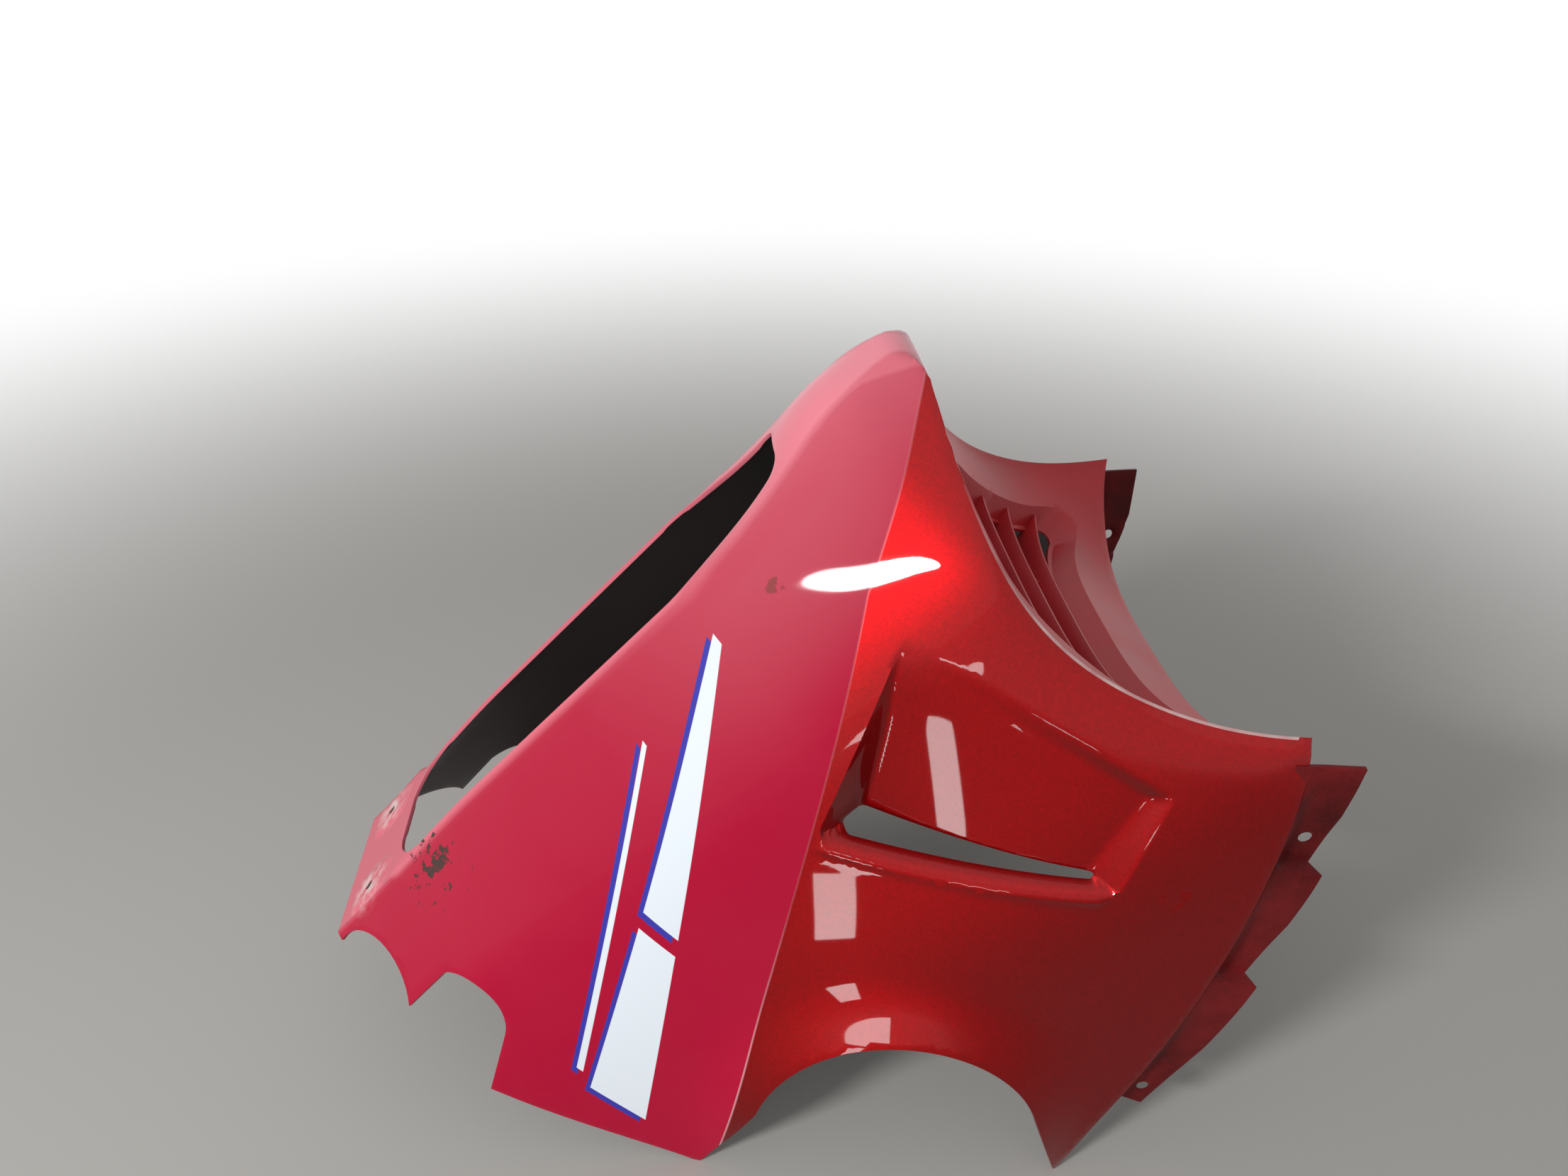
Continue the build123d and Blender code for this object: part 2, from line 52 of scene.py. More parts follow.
# Side panels: facets from the strip outwards, how far each leans out, and how soft their bends are
LOWER_LEAN = 1.03
MIDDLE_HALF, MIDDLE_GROWTH, MIDDLE_LEAN, MIDDLE_LEAN_LOSS = 46.0, 0.117, 1.07, 0.00125
SHOULDER_HEIGHT, SHOULDER_HALF, SHOULDER_TAPER = 280.0, 203.0, 0.042
UPPER_LEAN, UPPER_LEAN_LOSS, RIM_LEAN = 0.34, 0.00038, 0.07
LOWER_BEND, MIDDLE_BEND, UPPER_BEND = 14.0, 30.0, 16.0
# Hollow front panel: its middle line, and the trough that brings its sides forward
HOLLOW_DEPTH, HOLLOW_HEIGHT, HOLLOW_LENGTH, HOLLOW_TOP_LENGTH = 64.0, 180.0, 180.0, 240.0
TROUGH_DEPTH, TROUGH_RISE, TROUGH_ROUND = 66.0, 3.2, 3.3
# Outline in side view, as (station, height), and what is trimmed off the feet
NOSE_CORNER, FRONT_FOOT, TOP_EDGE_SAG = (-13.0, 283.0), (338.0, 474.0), 26.0
REAR_FOOT, REAR_CORNER = (521.0, 289.0), (577.0, 136.0)
NOTCH_TOP, NOTCH_DEEP, NOTCH_LOW = (531.0, 112.0), (516.0, 78.0), (536.0, 58.0)
TAIL_POINT, BITE_DEEP, PLATE_TIP_HEIGHT = (581.0, 60.0), (575.0, 30.0), 9.0
FOOT_FLAT = 1.5
# Arch in the edge of each side panel, with its angles in degrees and its flared lip
ARCH_CENTRE, ARCH_RADIUS, ARCH_REAR_ANGLE, ARCH_FRONT_ANGLE = (395.0, 360.0), 103.0, -64.0, -205.0
FLARE, FLARE_WIDTH, FLARE_SOFT = 15.0, 34.0, 8.0
# Slot in the keel strip, and the rear plate's holes and their pads
SLOT_FRONT, SLOT_FRONT_HALF, SLOT_FULL_AT, SLOT_HALF, SLOT_REAR = 118.0, 28.0, 225.0, 57.0, 538.0
SLOT_FRONT_ROUND, SLOT_BEND_ROUND, SLOT_REAR_ROUND = 18.0, 72.0, 38.0
PLATE_HOLE_STATION, PLATE_HOLE_Y, PLATE_HOLE_RADIUS = 575.0, 42.0, 4.0
PAD_LENGTH, PAD_WIDTH, PAD_HEIGHT, PAD_ROUND, PAD_EDGE = 44.0, 34.0, 1.6, 6.0, 2.0
# Side vent: a recess that sinks from its ridge to an open slit behind its lip
VENT_CORNERS = [(114.0, 83.0), (254.0, 142.0), (140.0, 293.0), (66.0, 256.0)]
VENT_SLOPE, VENT_RIDGE_AT, VENT_RIDGE_SOFT = 0.26, 12.0, 6.0     # fall of the floor at the apex side
VENT_STEP, VENT_STEP_WIDTH, VENT_REAR_SLOPE = 5.0, 14.0, 0.085   # fall of the floor at the other side
VENT_ROUND, VENT_BLEND, VENT_EDGE_FALL = 10.0, 4.0, 2.8
VENT_LEFT_RUN, VENT_RIGHT_RUN = 1.1, 1.3             # run of the side walls for each unit of depth
SLIT_LEFT, SLIT_RIGHT, SLIT_ROUND = (7.0, 24.0, 12.0), (12.0, 15.0, 4.0), 4.0
SLIT_END_ROUNDS, VENT_END_ROUND = (1.5, 0.8), 1.0
LIP_WIDTH, LIP_DEPTH, LIP_FALL, LIP_BEAD, LIP_BEAD_WIDTH = 6.0, 9.0, 3.5, 1.5, 3.5
LIP_BOW, LIP_BOW_REACH = 7.0, 60.0
# Grille in the hollow front: its bevelled opening, its slats and the ribs behind them
GRILLE_TOP, GRILLE_LENGTH, GRILLE_HALF_TOP, GRILLE_HALF_LOW = 272.0, 150.0, 146.0, 94.0
GRILLE_ROUND, GRILLE_STATION, BEVEL_DEPTH, BEVEL_WIDTH, RIM_WIDTH = 20.0, 50.0, 15.0, 9.0, 4.0
SLAT_PITCH, SLAT_THICKNESS, SLAT_DEPTH, SLAT_SET_BACK = 31.0, 2.6, 22.0, 5.0
RIB_Y, RIB_THICKNESS, RIB_DEPTH = 50.0, 2.6, 12.0
# Mounting flange along the top edge: where its teeth start and end, and the holes in them
FLANGE_STATIONS, FLANGE_WIDTH, FLANGE_NARROWING = (-4.0, 56.0, 138.0, 264.0), 33.0, 6.0
FLANGE_STEP, FLANGE_START, FLANGE_LAP, FLANGE_JOGGLE, FLANGE_RISER = 9.0, 1.4, 8.0, 10.0, 2.0
TAB_HOLE_RADIUS, TAB_HOLE_EDGE, TAB_HOLE_UP = 4.3, 15.0, 18.0
# Roll of the side panels, broad towards their front edge and tighter at it, and its rise from the chin
NOSE_ROLL, NOSE_ROLL_WIDTH, RIM_ROLL, RIM_ROLL_WIDTH = 5.0, 42.0, 3.5, 9.0
ROLL_RISE, ROLL_POWER = 80.0, 10
FRONT_EDGE_START = 3 * CHIN_ROUND     # height where the soft creases of the chin end
# Soft creases: their reach, rounds of smoothing behind the chin and then along all, and the chin's end
CREASE_REACH, CREASE_ROUNDS, CHIN_ROUNDS, CHIN_CREASE = 13.0, 7, 1, 75.0
# Rounded edges, the pale line along the front edge, and how far slats and ribs stop short of the edge of
# their opening
EDGE_ROUND, SLAT_EDGE_ROUND, SLAT_END_INSET, RIB_END_INSET = 0.8, 0.5, 3.0, 10.0
EDGE_ANGLE, SLAT_EDGE_ANGLE, SHARP_ANGLE = 55.0, 50.0, 40.0      # degrees
PALE_RIM_WIDTH, PALE_RIM_START, PALE_RIM_FULL = 1.5, 55.0, 130.0   # width of the pale line along the front edge, and heights
DULL_START = 6.0             # distance up the front panel where its dull paint starts

# Meshes: their grid and the lines that it keeps to, and searches for where two skins meet
MESH_STEP, GRID_ROOM, FINE_GRID_ROOM = 5.0, 0.55, 0.28   # the rooms are in grid steps
FLANGE_MESH_STEP, FLANGE_LINE_INSET = MESH_STEP / 1.5, 1.0
LIP_LINES = (-0.5, 0.0, 0.3, 0.6)                        # in lip widths
ROLL_LINES = (PALE_RIM_WIDTH, RIM_ROLL_WIDTH / 2.5, RIM_ROLL_WIDTH / 1.3)
TOP_EDGE_RUNS, SLAT_RUNS, RIB_RUNS, HOLE_RUNS = 70, 60, 40, 28
SLIVER = 0.02                # triangles under this area, in square millimetres, are left out
SEAM, BLADE_SEAM, ON_LINE, SAME_POINT = 0.3, 0.01, 0.1, 0.001   # gaps that count as none
STEEP = 40.0                 # past this many softnesses a soft bend is straight
SEARCH_ROUNDS, FRONT_ROUNDS, BEVEL_ROUNDS, CREASE_RANGE = 40, 30, 4, 40.0

# Finishes, in millimetres or as shares of 1: edge of the film in side view, and how pale its cut shows
FILM_SLOPE, FILM_START, FILM_CHIN_SLOPE, FILM_CHIN_START = 0.6, -13.4, 0.437, 6.0
FILM_SOFT, PRINT_SOFT, SPOT_SOFT = 0.3, 0.2, 0.03
CUT_WIDTH, CUT_CORE, CUT_START, CUT_FULL, CUT_LEAST, CUT_MOST = 0.9, 0.5, -300.0, -440.0, 0.1, 0.7
# Stripes on the film: start and end along its edge, distance below it, and half widths
STRIPES = [
    (235.0, 425.0, 78.0, 3.0, 13.0),
    (438.0, 590.0, 78.0, 13.7, 22.0),
    (330.0, 580.0, 110.0, 1.5, 2.5),
]
STRIPE_SLANT, STRIPE_SHADOW = 0.5, 3.5
# How the film turns pale, partly by fading and partly as painted sheen where it faces up: along the keel,
# and from where to where beside the strip, its facet and its slot, whose pale rim is a painted highlight
FADE_AND_SHEEN_REAR, FADE_AND_SHEEN_FRONT, FADE_AND_SHEEN_LEAST, CLOUD_FADE = -330.0, -60.0, 0.12, 0.04
STRIP_FADE_AND_SHEEN_REACH, FACET_FADE_AND_SHEEN_REACH, SLOT_RIM_PAINTED_HIGHLIGHT_REACH = (12.0, -4.0), (85.0, 0.0), (8.0, 1.5)
FACET_FADE_AND_SHEEN, SLOT_RIM_PAINTED_HIGHLIGHT = 0.45, 0.62
# Worn spots: their place ahead, to the left and up, reach, size, and cover in the middle
CHIPS = ((-500.0, 74.0, 11.0), 95.0, 8.0, 0.55)
SCUFFS = ((-162.0, 84.0, 24.0), 26.0, 14.0, 0.6)
HAZE = ((-112.0, 201.0, 322.0), 75.0, 12.0, 0.5)
RUB_REACH, RUB_FULL, STREAK, STREAK_FROM, STREAK_TO = 26.0, 6.0, 9.0, 0.4, 0.6
SCUFF_SHARE, HAZE_SHARE, GLINT_SHARE, GLINT_LEAST = 0.6, 0.4, 0.26, 0.5
SKIN_CLOUD, COAT_CLOUD, MIST_CLOUD, DUST_CLOUD, PALE_RIM_CLOUD, PEEL = 70.0, 60.0, 45.0, 55.0, 18.0, 4.0
# Real flake, grit and grain are well under a millimetre, too fine to show, so they are drawn this coarse
FLAKE, GRIT, GRIT_HEIGHT, GRAIN, GRAIN_HEIGHT = 1.2, 1.5, 0.08, 1.4, 0.1

# Room and camera, in metres and degrees
FLOOR_SIZE, FLOOR_NEAR, FLOOR_FAR, LIGHT_AIM = 8.0, 0.7, 2.6, (0.0, -0.1, 0.35)
ROOM_LIGHT, SKY_LIGHT, SKY_SPREAD, SKY_TILT, SKY_TURN = 0.34, 0.62, 120.0, 38.0, -62.0
FOCAL_PIXELS, PHOTO_WIDTH, SENSOR_WIDTH = 1661, 2212, 36     # pixels, and millimetres for the sensor
EYE_PLACE, EYE_TILT, EYE_TURN = (-0.0475, -0.7114, 0.818), 58.75, -4.44

# Finishes by their place in the mesh's list, each followed there by the one on the wall's inner side
PAINT, DULL, MIST, EDGE = range(0, 8, 2)

TURN = atan2(FRONT_FOOT[1] - REAR_FOOT[1], REAR_FOOT[0] - FRONT_FOOT[0])
LIFT = REAR_FOOT[0] * sin(TURN) + REAR_FOOT[1] * cos(TURN) - FOOT_FLAT

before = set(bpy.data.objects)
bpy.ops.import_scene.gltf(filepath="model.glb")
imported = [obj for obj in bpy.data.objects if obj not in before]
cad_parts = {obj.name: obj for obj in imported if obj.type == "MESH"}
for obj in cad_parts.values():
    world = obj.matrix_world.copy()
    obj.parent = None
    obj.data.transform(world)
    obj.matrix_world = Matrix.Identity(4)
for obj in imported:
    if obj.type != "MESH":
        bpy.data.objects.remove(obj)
cad_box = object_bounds()
SHIFT = cad_box[0].x / MM + KEEL_LENGTH * cos(TURN) - TAIL_KICK / 2 * sin(TURN)


def soft_min(first, second, blend):
    """Smaller of two values, rounded where they come within the blend of each other."""
    closeness = max(blend - abs(first - second), 0.0) / blend
    return min(first, second) - closeness**3 * blend / 6


def ease(value):
    """Smooth step from 0 to 1."""
    value = min(max(value, 0.0), 1.0)
    return value * value * (3 - 2 * value)


def ramp(value, softness):
    """Zero, then a straight rise, with a soft bend between them."""
    return softness * log(1 + exp(min(value / softness, STEEP)))


def settled(value, rule, rounds=SEARCH_ROUNDS):
    """Value that a rule gives back as it is, found by going half of the way again and again."""
    for _ in range(rounds):
        value = (value + rule(value)) / 2
    return value


def standing(station, y, height):
    """Point of the riding position as it stands in the photograph, in metres."""
    x = height * sin(TURN) - station * cos(TURN) + SHIFT
    z = LIFT - station * sin(TURN) - height * cos(TURN)
    return (x * MM, y * MM, max(z, 0.0) * MM)


def keel_height(station, y=0.0):
    """Height of the keel strip's skin, with the chin's crowned belly and the tail's kick."""
    belly = exp(-(((station - CHIN_BELLY_AT) / CHIN_BELLY_SPREAD) ** 2))
    kick = TAIL_KICK * ease((station - KEEL_LENGTH + TAIL_KICK_LENGTH) / TAIL_KICK_LENGTH)
    return kick - TAIL_KICK / 2 - belly * (CHIN_BELLY - y * y / (2 * CHIN_CROWN_RADIUS))


def strip_half(station):
    """Half width of the keel strip, before it is bent into the side panels."""
    share = sin(pi / 2 * min(max(station / STRIP_TAPER, -1.0), 1.0))
    return STRIP_HALF_CHIN + (STRIP_HALF - STRIP_HALF_CHIN) * share


def half_width(station, height):
    """Half width of the outer skin."""
    shoulder = SHOULDER_HALF - SHOULDER_TAPER * station
    lower = strip_half(station) + LOWER_LEAN * (height - keel_height(station))
    middle = MIDDLE_HALF + MIDDLE_GROWTH * station
    middle += (MIDDLE_LEAN - MIDDLE_LEAN_LOSS * station) * height
    upper = shoulder + (UPPER_LEAN - UPPER_LEAN_LOSS * station) * (height - SHOULDER_HEIGHT)
    rim = shoulder + RIM_LEAN * (height - SHOULDER_HEIGHT)
    skin = soft_min(lower, middle, LOWER_BEND)
    skin = soft_min(skin, upper, MIDDLE_BEND)
    return soft_min(skin, rim, UPPER_BEND)


def open_hollow(height, y):
    """Station of the front panel's outer face, before the nose is rounded."""
    length = HOLLOW_LENGTH if height < HOLLOW_HEIGHT else HOLLOW_TOP_LENGTH
    middle = HOLLOW_DEPTH * (1 - ((height - HOLLOW_HEIGHT) / length) ** 2)
    depth = TROUGH_DEPTH * (max(height, 0.0) / NOSE_CORNER[1]) ** TROUGH_RISE
    edge = max(half_width(middle, height), STRIP_HALF_CHIN)
    return middle - depth * (abs(y) / edge) ** TROUGH_ROUND


def hollow_station(height, y):
    """Station of the front panel's outer face, which runs into the nose."""
    gap = NOSE_HIGH[0] - open_hollow(NOSE_HIGH[1], 0.0)
    return open_hollow(height, y) + gap * (1 - ease((height - NOSE_HIGH[1]) / (2 * CHIN_ROUND)))


def front_station(height):
    """Station where the side panel meets the front panel at a height."""
    start = hollow_station(height, 0.0)
    return settled(start, lambda s: hollow_station(height, half_width(s, height)), FRONT_ROUNDS)


def strip_height(station, y):
    """Height of the keel strip, flat across next to the nose."""
    share = ease((station - NOSE_LOW[0]) / (2 * CHIN_ROUND))
    gap = NOSE_LOW[1] - keel_height(NOSE_LOW[0])
    crown = keel_height(station, y) - keel_height(station)
    return keel_height(station) + crown * share + gap * (1 - share)


def crease_height(station):
    """Height where the keel strip meets the side panel."""
    low = keel_height(station) - 1
    high = low + CREASE_RANGE
    for _ in range(SEARCH_ROUNDS):
        middle = (low + high) / 2
        if strip_height(station, half_width(station, middle)) > middle:
            low = middle
        else:
            high = middle
    return middle


def arc_point(centre, radius, angle):
    """Point of a circle at an angle."""
    return (centre[0] + radius * cos(angle), centre[1] + radius * sin(angle))


def nose():
    """Centre of the nose's round, and its angles where it leaves the keel and meets the front."""
    bottom = (CHIN_BELLY_AT, keel_height(CHIN_BELLY_AT))
    start = (open_hollow(0.0, 0.0), keel_height(0.0))
    top = (open_hollow(CHIN_BELLY_AT, 0.0), CHIN_BELLY_AT)
    back = atan2(bottom[1] - start[1], bottom[0] - start[0])
    up = atan2(top[1] - start[1], top[0] - start[0])
    half = (up - back) / 2
    centre = arc_point(start, CHIN_ROUND / sin(half), back + half)
    return centre, back - pi / 2, up - 3 * pi / 2


NOSE_CENTRE, NOSE_FROM, NOSE_TO = nose()
NOSE_LOW = arc_point(NOSE_CENTRE, CHIN_ROUND, NOSE_FROM)
NOSE_HIGH = arc_point(NOSE_CENTRE, CHIN_ROUND, NOSE_TO)
NOSE_RUN = CHIN_ROUND * (NOSE_FROM - NOSE_TO)


def divided(points, step):
    """Polyline with more points, so that no run is longer than the step."""
    fine = []
    for start, end in zip(points, points[1:]):
        count = max(1, ceil(hypot(end[0] - start[0], end[1] - start[1]) / step))
        for i in range(count):
            share = i / count
            fine.append((start[0] + (end[0] - start[0]) * share, start[1] + (end[1] - start[1]) * share))
    return fine + [points[-1]]


def arc(centre, radius, start, end, step):
    """Points along an arc, at least two runs of it and none longer than the step."""
    count = max(2, ceil(abs(end - start) * radius / step))
    return [arc_point(centre, radius, start + (end - start) * i / count) for i in range(count + 1)]


def through(first, middle, last, step):
    """Arc through three points."""
    (ax, ay), (bx, by), (cx, cy) = first, middle, last
    d = 2 * (ax * (by - cy) + bx * (cy - ay) + cx * (ay - by))
    a2, b2, c2 = ax * ax + ay * ay, bx * bx + by * by, cx * cx + cy * cy
    centre = (
        (a2 * (by - cy) + b2 * (cy - ay) + c2 * (ay - by)) / d,
        (a2 * (cx - bx) + b2 * (ax - cx) + c2 * (bx - ax)) / d,
    )
    angles = [atan2(p[1] - centre[1], p[0] - centre[0]) for p in (first, middle, last)]
    turn = (angles[2] - angles[0]) % (2 * pi)
    if (angles[1] - angles[0]) % (2 * pi) > turn:
        turn -= 2 * pi
    radius = hypot(ax - centre[0], ay - centre[1])
    return arc(centre, radius, angles[0], angles[0] + turn, step)


def rounded(corners, radii, step):
    """Closed outline with round corners."""
    outline = []
    for i, corner in enumerate(corners):
        before, after = corners[i - 1], corners[(i + 1) % len(corners)]
        a = Vector((before[0] - corner[0], before[1] - corner[1])).normalized()
        b = Vector((after[0] - corner[0], after[1] - corner[1])).normalized()
        half = a.angle(b) / 2
        reach = radii[i] / np.tan(half)
        middle = Vector(corner) + (a + b).normalized() * (radii[i] / sin(half))
        start, end = Vector(corner) + a * reach, Vector(corner) + b * reach
        tip = middle - (a + b).normalized() * radii[i]
        outline += through(start, tip, end, step / 2)
    fine = divided(outline + outline[:1], step)
    return fine[:-1]


def shifted(points, distances):
    """Corners of a polygon after each edge, starting at its first corner, moves outwards."""
    edges = []
    for i, start in enumerate(points):
        end = points[(i + 1) % len(points)]
        along = (Vector(end) - Vector(start)).normalized()
        edges.append((Vector(start) + Vector((along.y, -along.x)) * distances[i], along))
    corners = []
    for i, (corner, along) in enumerate(edges):
        base, before = edges[i - 1]
        gap = corner - base
        run = (gap.x * along.y - gap.y * along.x) / (before.x * along.y - before.y * along.x)
        corners.append(tuple(base + before * run))
    return corners


def inside(points, loop):
    """Which of many points lie inside a closed outline."""
    x, y = points[:, 0], points[:, 1]
    result = np.zeros(len(points), bool)
    for (ax, ay), (bx, by) in zip(loop, loop[1:] + loop[:1]):
        crosses = (ay > y) != (by > y)
        with np.errstate(divide="ignore", invalid="ignore"):
            result ^= crosses & (x < (bx - ax) * (y - ay) / (by - ay) + ax)
    return result


def away(points, line):
    """Distance of many points from a polyline."""
    nearest = np.full(len(points), np.inf)
    for start, end in zip(np.array(line[:-1]), np.array(line[1:])):
        run = end - start
        share = np.clip((points - start) @ run / max(run @ run, 1e-12), 0, 1)
        nearest = np.minimum(nearest, np.linalg.norm(points - start - share[:, None] * run, axis=1))
    return nearest


def grid_inside(outline, step):
    """Points of a square grid inside an outline."""
    low, high = np.min(outline, axis=0), np.max(outline, axis=0)
    counts = np.ceil((high - low) / step).astype(int)
    axes = [np.linspace(low[i], high[i], counts[i] + 1) for i in (0, 1)]
    grid = np.stack(np.meshgrid(*axes), -1).reshape(-1, 2)
    return grid[inside(grid, outline)]


def triangulated(outline, holes, lines, step=MESH_STEP, dense=None):
    """Triangles on a grid over a plane outline, with its holes and inner lines kept as edges.

    The grid is twice as fine inside the dense outline.
    """
    loops = [loop + loop[:1] for loop in [outline] + holes] + lines
    points, edges = [], []
    for loop in loops:
        edges += [(len(points) + i, len(points) + i + 1) for i in range(len(loop) - 1)]
        points += loop
    grid = grid_inside(outline, step)
    room = np.full(len(grid), GRID_ROOM * step)
    if dense:
        keep = ~inside(grid, dense)
        fine = grid_inside(dense, step / 2)
        grid = np.concatenate([grid[keep], fine])
        room = np.concatenate([room[keep], np.full(len(fine), FINE_GRID_ROOM * step)])
    keep = np.min([away(grid, loop) for loop in loops], axis=0) > room
    for loop in holes:
        keep &= ~inside(grid, loop)
    grid = grid[keep]
    every = [Vector(p) for p in points] + [Vector(p) for p in grid]
    made = delaunay_2d_cdt(every, edges, [], 0, SAME_POINT)
    flat = np.array([tuple(v) for v in made[0]])
    faces = np.array(made[2])
    corners = flat[faces]
    centres = corners.mean(axis=1)
    sides = corners[:, 1:] - corners[:, :1]
    areas = abs(sides[:, 0, 0] * sides[:, 1, 1] - sides[:, 0, 1] * sides[:, 1, 0]) / 2
    keep = inside(centres, outline) & (areas > SLIVER)
    for loop in holes:
        keep &= ~inside(centres, loop)
    return flat, faces[keep]


def top_edge_circle():
    """Centre and radius of the bowed top edge of the side panels."""
    run, rise = FRONT_FOOT[0] - NOSE_CORNER[0], FRONT_FOOT[1] - NOSE_CORNER[1]
    chord = hypot(run, rise)
    radius = (chord**2 / 4 + TOP_EDGE_SAG**2) / (2 * TOP_EDGE_SAG)
    drop = radius - TOP_EDGE_SAG
    middle = ((NOSE_CORNER[0] + FRONT_FOOT[0]) / 2, (NOSE_CORNER[1] + FRONT_FOOT[1]) / 2)
    return (middle[0] + drop * rise / chord, middle[1] - drop * run / chord), radius


def top_edge(station, out=0.0):
    """Point on the top edge at a station, moved outwards from the edge."""
    centre, radius = top_edge_circle()
    lean = (station - centre[0]) / radius
    up = sqrt(1 - lean**2)
    return (station + lean * out, centre[1] + up * (radius + out))


def rim_chord(station):
    """Height of the front panel's rim, which is in line with the ends of the top edge."""
    slope = (FRONT_FOOT[1] - NOSE_CORNER[1]) / (FRONT_FOOT[0] - NOSE_CORNER[0])
    return NOSE_CORNER[1] + slope * (station - NOSE_CORNER[0])


def rim_height(y):
    """Height of the front panel's rim at a distance from the middle."""
    return settled(NOSE_CORNER[1], lambda height: rim_chord(hollow_station(height, y)))


def front_heights():
    """Heights along the front edge, from the nose to the front corner."""
    top = settled(NOSE_CORNER[1], lambda height: rim_chord(front_station(height)))
    count = ceil((top - NOSE_HIGH[1]) / MESH_STEP)
    return [NOSE_HIGH[1] + (top - NOSE_HIGH[1]) * i / count for i in range(count + 1)]


def keel_stations():
    """Stations along the crease, from the nose to the tail."""
    count = ceil((KEEL_LENGTH - NOSE_LOW[0]) / MESH_STEP)
    return [NOSE_LOW[0] + (KEEL_LENGTH - NOSE_LOW[0]) * i / count for i in range(count + 1)]


def nose_arc():
    """Points of the nose in side view, from the keel to the front panel."""
    return arc(NOSE_CENTRE, CHIN_ROUND, NOSE_FROM, NOSE_TO, MESH_STEP / 2)


def side_outline():
    """Outline of a side panel as (station, height), from the tail forwards."""
    crease = [(s, crease_height(s)) for s in reversed(keel_stations())]
    front = [(front_station(h), h) for h in front_heights()]
    length = FRONT_FOOT[0] - NOSE_CORNER[0]
    top = [top_edge(NOSE_CORNER[0] + length * i / TOP_EDGE_RUNS) for i in range(TOP_EDGE_RUNS + 1)]
    arch = arc(ARCH_CENTRE, ARCH_RADIUS, radians(ARCH_FRONT_ANGLE), radians(ARCH_REAR_ANGLE), MESH_STEP)
    outline = crease[:-1] + nose_arc()[:-1] + front + top
    outline += divided([top[-1], arch[0]], MESH_STEP)[1:-1] + arch
    outline += divided([arch[-1], REAR_FOOT, REAR_CORNER, NOTCH_TOP], MESH_STEP)[1:-1]
    outline += through(NOTCH_TOP, NOTCH_DEEP, NOTCH_LOW, MESH_STEP)
    outline += divided([NOTCH_LOW, TAIL_POINT], MESH_STEP)[1:-1]
    outline += through(TAIL_POINT, BITE_DEEP, (KEEL_LENGTH, PLATE_TIP_HEIGHT), MESH_STEP)
    return outline


def across(points, start, end):
    """Distance of many points from a line, positive to the right of its direction."""
    along = (Vector(end) - Vector(start)).normalized()
    return (points[:, 0] - start[0]) * along.y - (points[:, 1] - start[1]) * along.x


def lip_bow(points):
    """How far the vent's lip bows outwards beside each of many points."""
    b, c = np.array(VENT_CORNERS[1]), np.array(VENT_CORNERS[2])
    share = np.clip((points - b) @ (c - b) / ((c - b) @ (c - b)), 0, 1)
    inset = -across(points, b, c)
    fade = np.array([ease(1 - gap / LIP_BOW_REACH) for gap in inset])
    return LIP_BOW * 4 * share * (1 - share) * fade


def bowed(loop):
    """Outline near the vent's lip, bent to its bow."""
    along = (Vector(VENT_CORNERS[2]) - Vector(VENT_CORNERS[1])).normalized()
    shift = lip_bow(np.array(loop))
    return [(s + along.y * d, h - along.x * d) for (s, h), d in zip(loop, shift)]


def vent_loop(inset):
    """Edge of the vent, moved inwards on the three sides that have a wall or a lip."""
    quad = shifted(VENT_CORNERS, [-inset, -inset, -inset, 0.0])
    round_by = VENT_ROUND - inset
    return bowed(rounded(quad, [VENT_END_ROUND, round_by, round_by, VENT_END_ROUND], MESH_STEP / 2))


def vent_slit():
    """Outline of the open slit between the vent's lip and its floor."""
    near_left, far_left, open_left = SLIT_LEFT
    near_right, far_right, open_right = SLIT_RIGHT
    near = shifted(VENT_CORNERS, [-near_left, -LIP_WIDTH, -near_right, 0.0])
    left = shifted(VENT_CORNERS, [-far_left, -LIP_WIDTH - open_left, -far_right, 0.0])[1]
    right = shifted(VENT_CORNERS, [-far_left, -LIP_WIDTH - open_right, -far_right, 0.0])[2]
    radii = [SLIT_END_ROUNDS[0], SLIT_ROUND, SLIT_ROUND / 2, SLIT_END_ROUNDS[1]]
    return bowed(rounded([left, near[1], near[2], right], radii, MESH_STEP / 2))


def lip_fall(inset):
    """How far the vent's lip has rolled in at a distance from its edge."""
    if inset < LIP_WIDTH:
        return LIP_DEPTH * (1 - sqrt(1 - (max(inset, 0.0) / LIP_WIDTH) ** 2))
    return LIP_DEPTH + LIP_FALL * (inset - LIP_WIDTH)


